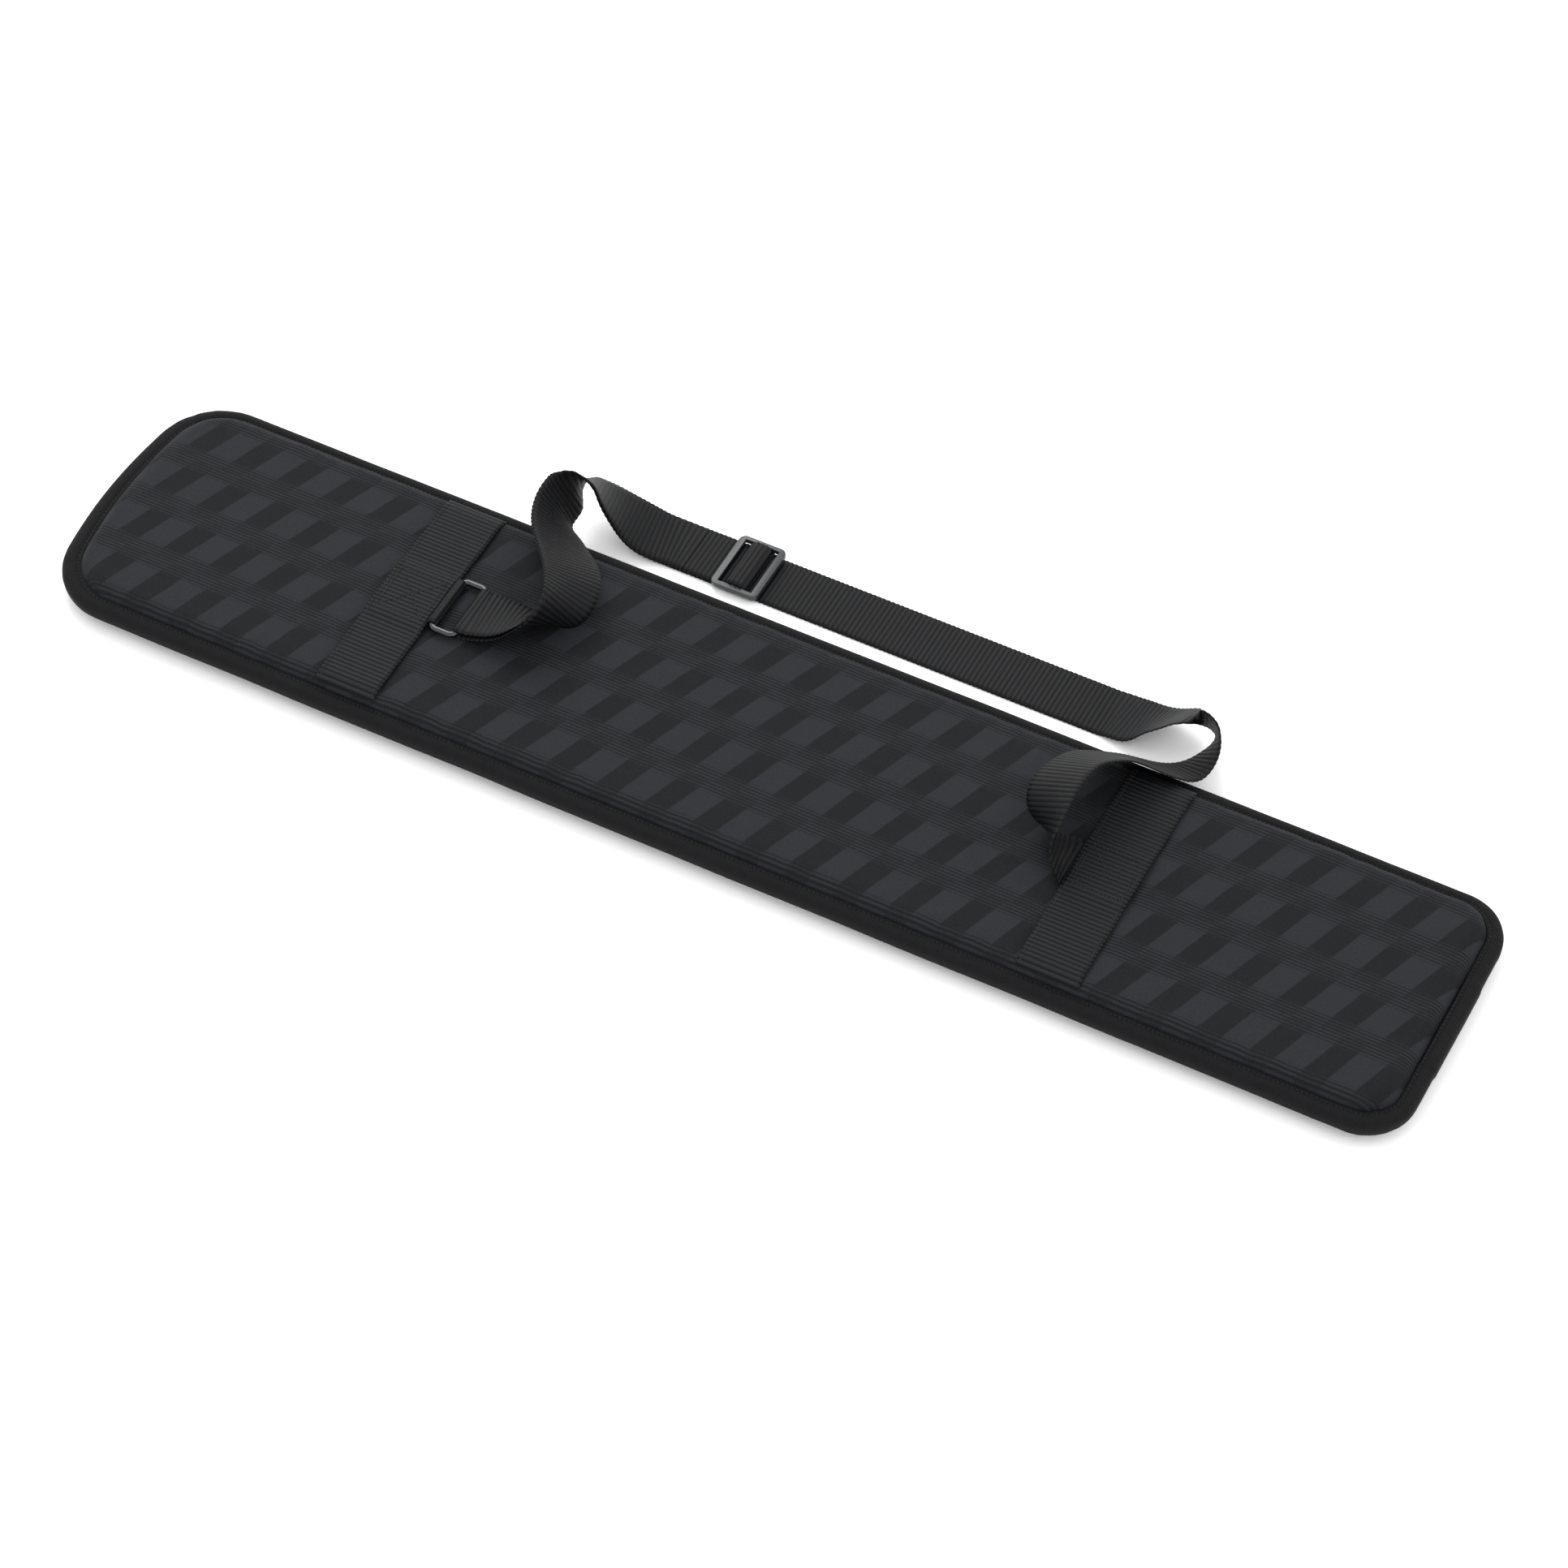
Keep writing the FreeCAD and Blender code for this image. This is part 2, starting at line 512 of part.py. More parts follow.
def strap_piece(name, stations, offset):
    """A length of strap laid through stations: four long faces and two ends."""
    corners = strap_corners(stations, offset)
    marks = [float(index) for index in range(len(corners[0]))]
    edges = [through(corner, marks).toShape() for corner in corners]
    faces = [Part.makeRuledSurface(first, second) for first, second in zip(edges, edges[1:] + edges[:1])]
    for end in (0, -1):
        ring = [corner[end] for corner in corners]
        faces.append(Part.Face(Part.makePolygon(ring + ring[:1])))
    shell = Part.Shell(faces)
    shell.sewShape()
    solid = Part.Solid(shell)
    if solid.Volume < 0:
        solid.reverse()
    piece = doc.addObject("Part::Feature", name + "_webbing")
    piece.Shape = solid
    return node(name, piece)


def layer_offset(side):
    """Distance of one of the two layers from their middle: wide at the ring's bar, then close."""
    close = (dim("strap_thick") + dim("layer_gap")) / 2
    wide = dim("ring_bar") / 2 + dim("wrap_clearance") + dim("tab_thick") / 2
    return lambda run: side * (close + (wide - close) * max(0.0, 1 - run / EYE_OPENING) ** 2)


def build_strap():
    """The shoulder strap from the ring, past the adjuster, to its sewn end."""
    low = LEFT_LOOP[-1][0][2]
    last_x = dim("glide_x") - 9.5
    to_glide = LEFT_LOOP + [((x, dim("strap_y"), low), (0, 1, 0)) for x in (-108, -99, last_x)]
    strap_piece("strap_outer_layer", LEFT_LOOP, layer_offset(-1))
    strap_piece("strap_inner_layer", to_glide, layer_offset(1))
    strap_piece("strap_sewn_loop", RIGHT_LOOP, lambda run: 0.0)
    y0, y1 = "strap_y - strap_width / 2", "strap_y + strap_width / 2"
    run = box("ground_run", f"{LEFT_LOOP[-1][0][0]} + 0.1", f"{RIGHT_LOOP[0][0][0]} - 0.1", y0, y1,
              "strap_run_low", "strap_run_low + strap_thick")
    node("strap_ground_run", run)
    end_low = "2 * half_height + 0.65"
    sewn_end = box("sewn_end", f"{RIGHT_LOOP[-1][0][0]} + 0.1", "band_right_x + stitch_box / 2 - 1",
                   "sewn_y - strap_width / 2", "sewn_y + strap_width / 2",
                   end_low, f"{end_low} + strap_thick")
    node("strap_sewn_end", sewn_end)


def build_adjuster():
    """Three-bar adjuster with the webbing that passes over its middle bar."""
    half_l, half_s = "glide_length / 2", "glide_span / 2"
    high = "glide_low + glide_thick"
    raw = box("glide_raw", f"glide_x - {half_l}", f"glide_x + {half_l}",
              f"strap_y - {half_s}", f"strap_y + {half_s}", "glide_low", high)
    block = rounded("glide_block", raw, 4.0, lambda b: b.XLength < 0.01 and b.YLength < 0.01)
    inner = f"({half_s} - glide_side)"
    slots = ((f"glide_x - {half_l} + glide_bar", "glide_x - glide_bar / 2"),
             ("glide_x + glide_bar / 2", f"glide_x + {half_l} - glide_bar"))
    for index, (x0, x1) in enumerate(slots):
        slot = box(f"glide_slot_{index}", x0, x1, f"strap_y - {inner}", f"strap_y + {inner}", "0", "12")
        block = cut(f"glide_frame_{index}", block, slot)
    node("adjuster_frame", block)
    y0, y1 = "strap_y - strap_width / 2", "strap_y + strap_width / 2"
    wrap = box("wrap_outside", "glide_x - 8.6", "glide_x + 8.6", y0, y1,
               "glide_low - 1.5", f"{high} + 1.8")
    wrap = rounded("wrap_arch", wrap, 4.5, lambda b: b.XLength < 0.01 and b.ZMin > value(f"{high} + 1.7"))
    inside = box("wrap_inside", "glide_x - 7.1", "glide_x + 7.1", f"{y0} - 1", f"{y1} + 1", "0",
                 f"{high} + 0.3")
    node("strap_bar_wrap", cut("wrap", wrap, inside))


# ---------------------------------------------------------------- zip in the underside
def build_zip():
    """Zip tapes, coil halves, end stops, slider and pull."""
    reach = "zip_half_length + 5"
    tape_high = "tape_low + tape_thick"
    node("zip_tape_main", box("tape_main", f"-({reach})", reach,
                              "zip_y - 0.3 - tape_width", "zip_y - 0.3", "tape_low", tape_high))
    node("zip_tape_strip", box("tape_strip", f"-({reach})", reach,
                               "zip_y + 0.3", "zip_y + 0.3 + tape_width", "tape_low", tape_high))
    half = "zip_half_length - 6"
    node("zip_coil_main", box("coil_main", f"-({half})", half, "zip_y - coil_gap / 2 - coil_width",
                              "zip_y - coil_gap / 2", "coil_low", "coil_high"))
    node("zip_coil_strip", box("coil_strip", f"-({half})", half, "zip_y + coil_gap / 2",
                               "zip_y + coil_gap / 2 + coil_width", "coil_low", "coil_high"))
    across = ("zip_y - 2.2", "zip_y + 2.2", "coil_low", "coil_high")
    stops = [box("stop_left", f"-({half}) - 3.5", f"-({half}) - 0.2", *across),
             box("stop_right", f"{half} + 0.2", f"{half} + 3.5", *across)]
    group = doc.addObject("Part::Compound", "stops")
    group.Links = stops
    node("zip_end_stops", group)

    x0, x1 = "slider_x - slider_length / 2", "slider_x + slider_length / 2"
    low_y, high_y = "zip_y - slider_width / 2", "zip_y + slider_width / 2"
    plate_high = "slider_low + slider_plate"
    base_block = box("slider_plate_block", x0, x1, low_y, high_y, "slider_low", plate_high)
    base = rounded("slider_base", base_block, 3.0, lambda b: b.XLength < 0.01 and b.YLength < 0.01)
    low_cheek = box("slider_cheek_near", f"{x0} + 2.5", f"{x1} - 2.5", low_y, f"{low_y} + cheek",
                    f"{plate_high} - 0.2", "slider_high")
    high_cheek = box("slider_cheek_far", f"{x0} + 2.5", f"{x1} - 2.5", f"{high_y} - cheek", high_y,
                     f"{plate_high} - 0.2", "slider_high")
    lug_in = "(eye_width / 2 + 0.3)"
    near_lug = box("slider_lug_near", "slider_x - 1.2", "slider_x + 1.2", f"zip_y - {lug_in} - lug_thick",
                   f"zip_y - {lug_in}", "0.8", "slider_low + 0.2")
    far_lug = box("slider_lug_far", "slider_x - 1.2", "slider_x + 1.2", f"zip_y + {lug_in}",
                  f"zip_y + {lug_in} + lug_thick", "0.8", "slider_low + 0.2")
    pin = rod_y("slider_pin", "pin_radius", "slider_x", f"zip_y - {lug_in} - lug_thick / 2",
                f"zip_y + {lug_in} + lug_thick / 2", "pin_z")
    node("zip_slider", fuse("slider_body", base, low_cheek, high_cheek, near_lug, far_lug, pin))

    eye = rod_y("pull_eye", "eye_radius", "slider_x", "zip_y - eye_width / 2", "zip_y + eye_width / 2",
                "pin_z")
    thick = ("pin_z - pull_thick / 2", "pin_z + pull_thick / 2")
    neck = box("pull_neck", "slider_x - 3", "slider_x", "zip_y - eye_width / 2", "zip_y + eye_width / 2",
               *thick)
    tab_block = box("pull_tab_block", "slider_x - pull_length", "slider_x - 2",
                    "zip_y - pull_width / 2", "zip_y + pull_width / 2", *thick)
    tab = rounded("pull_tab", tab_block, 2.0, lambda b: b.XLength < 0.01 and b.YLength < 0.01)
    bore = rod_y("pull_bore", "pin_radius + 0.2", "slider_x", "zip_y - eye_width", "zip_y + eye_width",
                 "pin_z")
    node("zip_pull", cut("pull", fuse("pull_solid", eye, neck, tab), bore))


build_panels()
build_binding()
for band_side, band_x in (("left", "band_left_x"), ("right", "band_right_x")):
    build_band(band_side, band_x)
    build_box_stitching(band_side, band_x)
build_ring()
build_strap()
build_adjuster()
build_zip()
doc.recompute()

# ---------------------------------------------------------------- check and export
for item in doc.Objects:
    if {"Invalid", "Error"} & set(item.State):
        raise SystemExit(f"{item.Name} failed: {item.State}")
for name, solid in NODES.items():
    shape = solid.Shape
    if shape.isNull() or not shape.isValid() or not shape.Solids:
        raise SystemExit(f"{name} has no valid solid")

os.makedirs("parts", exist_ok=True)
for name, solid in NODES.items():
    solid.Shape.exportStep(f"parts/{name}.step")
    print(f"{name}: {solid.Shape.Volume / 1000:.2f} cm3 in {len(solid.Shape.Solids)} solid(s)")
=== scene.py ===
"""Padded telescope carry case: cloth, webbing, hardware, floor, light and camera.

Metres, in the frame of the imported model: +X along the case, +Y towards the strap, +Z up.
"""
import logging
import math
from dataclasses import dataclass, field
from enum import Enum
from typing import Any, Callable, Iterable, Sequence

import bmesh
import bpy
import numpy as np
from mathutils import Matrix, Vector, noise
from mathutils.bvhtree import BVHTree


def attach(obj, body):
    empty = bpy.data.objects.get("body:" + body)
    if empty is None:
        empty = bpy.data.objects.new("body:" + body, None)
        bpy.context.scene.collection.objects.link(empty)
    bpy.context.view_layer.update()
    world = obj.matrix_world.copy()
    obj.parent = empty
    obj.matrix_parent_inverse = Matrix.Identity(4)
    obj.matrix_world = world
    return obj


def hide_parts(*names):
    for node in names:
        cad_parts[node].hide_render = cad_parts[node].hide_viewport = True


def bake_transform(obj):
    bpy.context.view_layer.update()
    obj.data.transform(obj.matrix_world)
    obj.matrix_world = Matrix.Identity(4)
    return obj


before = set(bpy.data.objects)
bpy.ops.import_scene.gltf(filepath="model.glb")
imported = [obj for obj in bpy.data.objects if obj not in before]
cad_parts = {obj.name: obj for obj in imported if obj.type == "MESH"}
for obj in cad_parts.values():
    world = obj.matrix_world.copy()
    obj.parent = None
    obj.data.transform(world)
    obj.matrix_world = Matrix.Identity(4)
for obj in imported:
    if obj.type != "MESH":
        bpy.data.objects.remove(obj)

log = logging.getLogger("carry_case")
MM = 0.001
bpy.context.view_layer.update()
DOWN = Vector((0, 0, -1))
ABOVE_ALL = 0.1

# A course gives the middle and the half-width vector at a distance along it.
Course = Callable[[float], tuple[Vector, Vector]]
# A surface gives its height over a point of the plan.
Surface = Callable[[float, float], float]
# A station is a middle in millimetres and the way across, whose length is the share of the full width.
Station = tuple[Sequence[float], Sequence[float]]


# ---------------------------------------------------------------- shader helpers
def linear(code: str) -> tuple[float, float, float, float]:
    """Turn an sRGB hex colour into linear light.

    Args:
        code: Six hex digits, such as "37393d".

    Returns:
        The colour as Blender's sockets take it.
    """
    parts = [int(code[i:i + 2], 16) / 255 for i in (0, 2, 4)]
    light = [c / 12.92 if c <= 0.04045 else ((c + 0.055) / 1.055) ** 2.4 for c in parts]
    return light[0], light[1], light[2], 1.0


def add_node(tree: bpy.types.NodeTree, kind: str, inputs: dict[Any, Any] | None = None, output: Any = 0,
             **settings: Any) -> bpy.types.NodeSocket | None:
    """Add a node with its settings, values and links.

    Args:
        tree: The material's node tree.
        kind: The node's type, such as "ShaderNodeMath".
        inputs: What each input socket is set to, a value or another node's socket.
        output: Which output socket to return.
        settings: The node's own properties.

    Returns:
        The output socket, or None for a node that has none.
    """
    made = tree.nodes.new(kind)
    for name, setting in settings.items():
        setattr(made, name, setting)
    for name, given in (inputs or {}).items():
        if isinstance(given, bpy.types.NodeSocket):
            tree.links.new(given, made.inputs[name])
        else:
            made.inputs[name].default_value = given
    return made.outputs[output] if made.outputs else None


def calculate(tree: bpy.types.NodeTree, operation: str, *values: Any,
              clamp: bool = False) -> bpy.types.NodeSocket:
    """Calculate with sockets and numbers.

    Args:
        tree: The material's node tree.
        operation: The calculation, such as "MULTIPLY".
        values: What it works on, in the node's order.
        clamp: Whether the result is kept from 0 to 1.

    Returns:
        The result's socket.
    """
    return add_node(tree, "ShaderNodeMath", dict(enumerate(values)), operation=operation, use_clamp=clamp)


class Space(Enum):
    """Where a pattern is laid: on the piece's own place, or along its own length."""

    OBJECT = "Object"
    LENGTH = "UV"


@dataclass(frozen=True)
class Finish:
    """A surface finish: what the material is, its colours and how it takes the light."""

    name: str
    dark: str
    light: str
    roughness: float
    metallic: float = 0.0
    ior: float = 1.5
    sheen: float = 0.0
    coat: float = 0.0
    specular: float = 0.5
    bump_mm: float = 0.1
    space: Space = Space.OBJECT

    def pattern(self, tree: bpy.types.NodeTree, place: bpy.types.NodeSocket) -> tuple[Any, Any]:
        """Faint unevenness, as every plain surface has.

        Args:
            tree: The material's node tree.
            place: The coordinates in millimetres.

        Returns:
            The sockets for the mix of the two colours and for the height.
        """
        grain = add_node(tree, "ShaderNodeTexNoise", {"Vector": place, "Scale": 0.35, "Detail": 4.0})
        return grain, grain

    def material(self) -> bpy.types.Material:
        """Build the material once and return it on every later call.

        Returns:
            The material.
        """
        found = bpy.data.materials.get(self.name)
        if found is not None:
            return found
        made = bpy.data.materials.new(self.name)
        made.use_nodes = True
        tree = made.node_tree
        tree.nodes.clear()
        raw = add_node(tree, "ShaderNodeTexCoord", output=self.space.value)
        place = add_node(tree, "ShaderNodeVectorMath", {0: raw, 1: (1 / MM, 1 / MM, 1 / MM)},
                         operation="MULTIPLY")
        mix, height = self.pattern(tree, place)
        colour = add_node(tree, "ShaderNodeMix", {0: mix, 6: linear(self.dark), 7: linear(self.light)}, 2,
                          data_type="RGBA")
        bump = add_node(tree, "ShaderNodeBump", {"Height": height, "Distance": self.bump_mm * MM,
                                                 "Strength": 1.0})
        shader = add_node(tree, "ShaderNodeBsdfPrincipled", {
            "Base Color": colour, "Normal": bump, "Roughness": self.roughness, "Metallic": self.metallic,
            "IOR": self.ior, "Sheen Weight": self.sheen, "Coat Weight": self.coat,
            "Specular IOR Level": self.specular})
        add_node(tree, "ShaderNodeOutputMaterial", {"Surface": shader})
        return made


@dataclass(frozen=True)
class PlaidCloth(Finish):
    """Polyester jacquard: smooth slanted checks, fine ribbed rows and a dark mesh between them."""

    column_mm: float = 32.66
    first_column_mm: float = 403.6
    row_mm: float = 40.0
    slant: float = 0.37
    rib_mm: float = 2.3
    drift_mm: float = 8.0

    def pattern(self, tree: bpy.types.NodeTree, place: bpy.types.NodeSocket) -> tuple[Any, Any]:
        """Checks in slanted columns, crossed by rows of ribs.

        Args:
            tree: The material's node tree.
            place: The coordinates in millimetres.

        Returns:
            The sockets for the mix of the two colours and for the height.
        """
        drift = add_node(tree, "ShaderNodeTexNoise", {"Vector": place, "Scale": 0.012, "Detail": 2.0})
        across = add_node(tree, "ShaderNodeSeparateXYZ", {0: place}, "X")
        along = add_node(tree, "ShaderNodeSeparateXYZ", {0: place}, "Y")
        bent = calculate(tree, "MULTIPLY_ADD", drift, self.drift_mm, along)
        row = calculate(tree, "FRACT", calculate(tree, "DIVIDE", bent, self.row_mm))
        row = calculate(tree, "SUBTRACT", row, 0.5)
        skew = calculate(tree, "MULTIPLY_ADD", row, -self.slant * self.row_mm, across)
        column = calculate(tree, "ADD", skew, self.first_column_mm + self.column_mm / 2)
        column = calculate(tree, "FRACT", calculate(tree, "DIVIDE", column, self.column_mm))
        column = calculate(tree, "ABSOLUTE", calculate(tree, "SUBTRACT", column, 0.5))
        row = calculate(tree, "ABSOLUTE", row)
        check = add_node(tree, "ShaderNodeMapRange", {"Value": column, "From Min": 0.295, "From Max": 0.245},
                         interpolation_type="SMOOTHSTEP")
        plain = add_node(tree, "ShaderNodeMapRange", {"Value": row, "From Min": 0.34, "From Max": 0.24})
        rib = calculate(tree, "SINE", calculate(tree, "MULTIPLY", along, 2 * math.pi / self.rib_mm))
        rib = add_node(tree, "ShaderNodeMapRange", {"Value": rib, "From Min": -0.6, "From Max": 0.8})
        thread = add_node(tree, "ShaderNodeTexNoise", {"Vector": place, "Scale": 0.9, "Detail": 3.0,
                                                       "Roughness": 0.7})
        ribbed = add_node(tree, "ShaderNodeMix", {0: plain, 2: rib, 3: 0.85}, data_type="FLOAT")
        edge_rib = calculate(tree, "MULTIPLY", calculate(tree, "MULTIPLY_ADD", plain, -0.6, 0.6), rib)
        mesh = calculate(tree, "MULTIPLY_ADD", thread, 0.35, edge_rib)
        mesh = calculate(tree, "SUBTRACT", mesh, 0.17)
        weave = add_node(tree, "ShaderNodeMix", {0: check, 2: mesh, 3: ribbed}, data_type="FLOAT")
        speck = calculate(tree, "MULTIPLY_ADD", thread, 1.1, -0.55)
        weave = calculate(tree, "ADD", weave, speck, clamp=True)
        height = calculate(tree, "MULTIPLY_ADD", thread, 0.5, weave)
        return weave, height


@dataclass(frozen=True)
class Twill(Finish):
    """Tape woven in twill: fine ridges that run slantwise over it."""

    ridge_mm: float = 1.3

    def pattern(self, tree: bpy.types.NodeTree, place: bpy.types.NodeSocket) -> tuple[Any, Any]:
        """Slanting ridges broken up by the yarn.

        Args:
            tree: The material's node tree.
            place: The coordinates in millimetres.

        Returns:
            The sockets for the mix of the two colours and for the height.
        """
        ridges = 2 * math.pi / (20 * self.ridge_mm)
        ridge = add_node(tree, "ShaderNodeTexWave", {"Vector": place, "Scale": ridges, "Distortion": 0.8,
                                                     "Detail": 1.0, "Detail Scale": 2.0},
                         "Fac", wave_type="BANDS", bands_direction="DIAGONAL")
        yarn = add_node(tree, "ShaderNodeTexNoise", {"Vector": place, "Scale": 0.25, "Detail": 4.0})
        mix = add_node(tree, "ShaderNodeMix", {0: 0.6, 2: ridge, 3: yarn}, data_type="FLOAT")
        return mix, ridge


@dataclass(frozen=True)
class Webbing(Finish):
    """Nylon webbing: its ribs are in the mesh, and the pattern adds the yarns that cross them, with a painted
    highlight on the rib crests and painted shade in the grooves.
    """

    yarn_mm: float = 1.1

    def pattern(self, tree: bpy.types.NodeTree, place: bpy.types.NodeSocket) -> tuple[Any, Any]:
        """Painted highlight on the ridges, painted shade in the grooves, and fine yarns across each rib.

        Args:
            tree: The material's node tree.
            place: The coordinates along the piece, where one thousand is one rib, and across it in mm.

        Returns:
            The sockets for the mix of the two colours and for the height.
        """
        along = add_node(tree, "ShaderNodeSeparateXYZ", {0: place}, "X")
        across = add_node(tree, "ShaderNodeSeparateXYZ", {0: place}, "Y")
        # Painted light and shade: the rib profile makes the crests lighter and the grooves darker in colour,
        # and also serves as the bump height.
        rib_relief_and_painted_shade = calculate(tree, "SINE", calculate(tree, "MULTIPLY", along, math.pi * MM))
        rib_relief_and_painted_shade = calculate(tree, "ABSOLUTE", rib_relief_and_painted_shade)
        rib_relief_and_painted_shade = add_node(tree, "ShaderNodeMapRange", {"Value": rib_relief_and_painted_shade, "From Min": 0.2, "From Max": 1.0})
        yarn = calculate(tree, "SINE", calculate(tree, "MULTIPLY", across, 2 * math.pi / self.yarn_mm))
        fuzz = add_node(tree, "ShaderNodeTexNoise", {"Vector": place, "Scale": 0.02, "Detail": 3.0})
        tone = calculate(tree, "MULTIPLY_ADD", fuzz, 0.6, 0.6)
        mix = calculate(tree, "MULTIPLY", rib_relief_and_painted_shade, tone, clamp=True)
        height = calculate(tree, "MULTIPLY_ADD", yarn, 0.25, rib_relief_and_painted_shade)
        return mix, height


# Polyester jacquard, woven: a dull cloth whose checks show as smoother, lighter patches.
PANEL_CLOTH = PlaidCloth("polyester_jacquard_woven", "101113", "222327", 0.78, sheen=0.01, specular=0.12,
                         bump_mm=0.18)
# Polyester twill tape, woven and folded: nearly black, with a soft slanting grain.
BINDING_TWILL = Twill("polyester_twill_tape", "060607", "141416", 0.8, sheen=0.01, specular=0.12,
                      bump_mm=0.12)
# Nylon webbing, woven: ribs catch the light, and the colour adds a painted highlight on them and painted
# shade in the grooves.
BAND_WEBBING = Webbing("nylon_webbing_band", "030304", "1a1c1e", 0.6, specular=0.14, bump_mm=0.12,
                       space=Space.LENGTH)
STRAP_WEBBING = Webbing("nylon_webbing_strap", "010102", "121315", 0.55, specular=0.14, bump_mm=0.12,
                        space=Space.LENGTH)
# Bonded polyester thread, twisted: a dull near-black line with a slight sheen.
THREAD = Twill("bonded_polyester_thread", "070708", "17181a", 0.6, specular=0.25, bump_mm=0.05, ridge_mm=0.6)
# Steel wire, enamelled black: glossy, with narrow bright highlights.
RING_ENAMEL = Finish("black_enamelled_steel_wire", "050506", "09090a", 0.25, coat=0.3, bump_mm=0.02)
# Acetal, moulded: satin dark grey, paler where edges catch the light.
ADJUSTER_PLASTIC = Finish("acetal_satin_moulded", "1c1e20", "26282a", 0.38, bump_mm=0.03)
# Polyester zip tape, woven in a fine herringbone.
ZIP_TAPE = Twill("polyester_zip_tape", "0a0a0b", "18181a", 0.8, specular=0.2, bump_mm=0.08, ridge_mm=1.0)
# Nylon coil, drawn: smooth dark teeth.
ZIP_COIL = Finish("nylon_coil_drawn", "0c0c0d", "141416", 0.4, bump_mm=0.02)
# Zinc alloy, die-cast and blackened: satin with a faint grain.
ZIP_METAL = Finish("zinc_alloy_blackened", "2a2b2d", "38393b", 0.38, metallic=1.0, bump_mm=0.03)
# Nylon taffeta, woven: a thin smooth lining.
LINING = Twill("nylon_taffeta_lining", "161719", "222427", 0.55, specular=0.3, bump_mm=0.05, ridge_mm=0.9)
# Painted board, matt: the pale floor.
FLOOR_PAINT = Finish("matt_white_floor_paint", "f8f8f8", "fbfbfb", 0.9, bump_mm=0.0)


# ---------------------------------------------------------------- mesh helpers
def deselect() -> None:
    """Leave nothing selected and no object in edit mode."""
    if bpy.context.object is not None and bpy.context.object.mode != "OBJECT":
        bpy.ops.object.mode_set(mode="OBJECT")
    bpy.ops.object.select_all(action="DESELECT")


def activate(piece: bpy.types.Object) -> bpy.types.Object:
    """Make one object the only selected and the active one.

    Args:
        piece: The object.

    Returns:
        The same object.
    """
    deselect()
    piece.select_set(True)
    bpy.context.view_layer.objects.active = piece
    return piece


def apply_modifier(piece: bpy.types.Object, kind: str, **settings: Any) -> None:
    """Add a modifier with its settings and apply it.

    Args:
        piece: The object that it changes.
        kind: The modifier's type, such as "BEVEL".
        settings: The modifier's properties.
    """
    activate(piece)
    made = piece.modifiers.new(kind.lower(), kind)
    for name, setting in settings.items():
        setattr(made, name, setting)
    bpy.ops.object.modifier_apply(modifier=made.name)


def make_piece(name: str, points: Iterable[Sequence[float]], faces: Iterable[Sequence[int]],
               spots: Sequence[Sequence[float]] | None = None) -> bpy.types.Object:
    """Make an object from points and faces, with one UV place for each point.

    Args:
        name: The object's name.
        points: The places of its vertices, in metres.
        faces: The vertices round each face.
        spots: A UV place for each vertex, where the finish follows the piece's length.

    Returns:
        The object, smooth shaded.
    """
    mesh = bpy.data.meshes.new(name)
    mesh.from_pydata([tuple(p) for p in points], [], [tuple(f) for f in faces])
    if spots is not None:
        layer = mesh.uv_layers.new(name="along")
        for loop in mesh.loops:
            layer.data[loop.index].uv = spots[loop.vertex_index]
    mesh.validate()
    mesh.shade_smooth()
    piece = bpy.data.objects.new(name, mesh)
    bpy.context.collection.objects.link(piece)
    return piece


def grid_rim(rows: int, columns: int) -> list[int]:
    """Vertices round the edge of a grid of points laid row by row.

    Args:
        rows: How many rows of faces it has.
        columns: How many columns of faces it has.

    Returns:
        Their numbers, in order round the edge.
    """
    wide = columns + 1
    first, last = list(range(wide)), [rows * wide + c for c in range(columns - 1, -1, -1)]
    right = [r * wide + columns for r in range(1, rows + 1)]
    return first + right + last + [r * wide for r in range(rows - 1, 0, -1)]


def ring_faces(count: int, sides: int) -> list[tuple[int, ...]]:
    """Faces of a closed loop of sections, each a closed ring of vertices.

    Args:
        count: How many sections there are.
        sides: How many vertices each has.

    Returns:
        The faces.
    """
    return [(r * sides + c, (r + 1) % count * sides + c, (r + 1) % count * sides + (c + 1) % sides,
             r * sides + (c + 1) % sides) for r in range(count) for c in range(sides)]


def add_bead(faces: list[tuple[int, ...]], start: int, sections: int) -> None:
    """Close a bead made of six-sided sections.

    Args:
        faces: The faces so far, which it adds to.
        start: The bead's first vertex.
        sections: How many sections it has.
    """
    for ring in range(sections - 1):
        for turn in range(6):
            a, b = start + ring * 6 + turn, start + ring * 6 + (turn + 1) % 6
            faces.append((a, b, b + 6, a + 6))
    faces.append(tuple(start + turn for turn in range(5, -1, -1)))
    faces.append(tuple(start + 6 * (sections - 1) + turn for turn in range(6)))


def search_tree(piece: bpy.types.Object) -> BVHTree:
    """Build the tree that finds where a line meets a piece.

    Args:
        piece: The object.

    Returns:
        The tree.
    """
    mesh = piece.data
    return BVHTree.FromPolygons([v.co for v in mesh.vertices], [tuple(p.vertices) for p in mesh.polygons])


def top_of(tree: BVHTree, otherwise: float) -> Surface:
    """Make a function that gives the height of a piece's top.

    Args:
        tree: The piece's search tree.
        otherwise: The height where the piece isn't met.

    Returns:
        The function.
    """
    def height(x: float, y: float) -> float:
        """Height of the piece where a line straight down at x and y meets it."""
        hit = tree.ray_cast(Vector((x, y, ABOVE_ALL)), DOWN)[0]
        return hit.z if hit is not None else otherwise

    return height


def face_outward(piece: bpy.types.Object) -> None:
    """Point every face of a closed piece outwards.

    Args:
        piece: The object.
    """
    work = bmesh.new()
    work.from_mesh(piece.data)
    bmesh.ops.recalc_face_normals(work, faces=work.faces)
    work.to_mesh(piece.data)
    work.free()


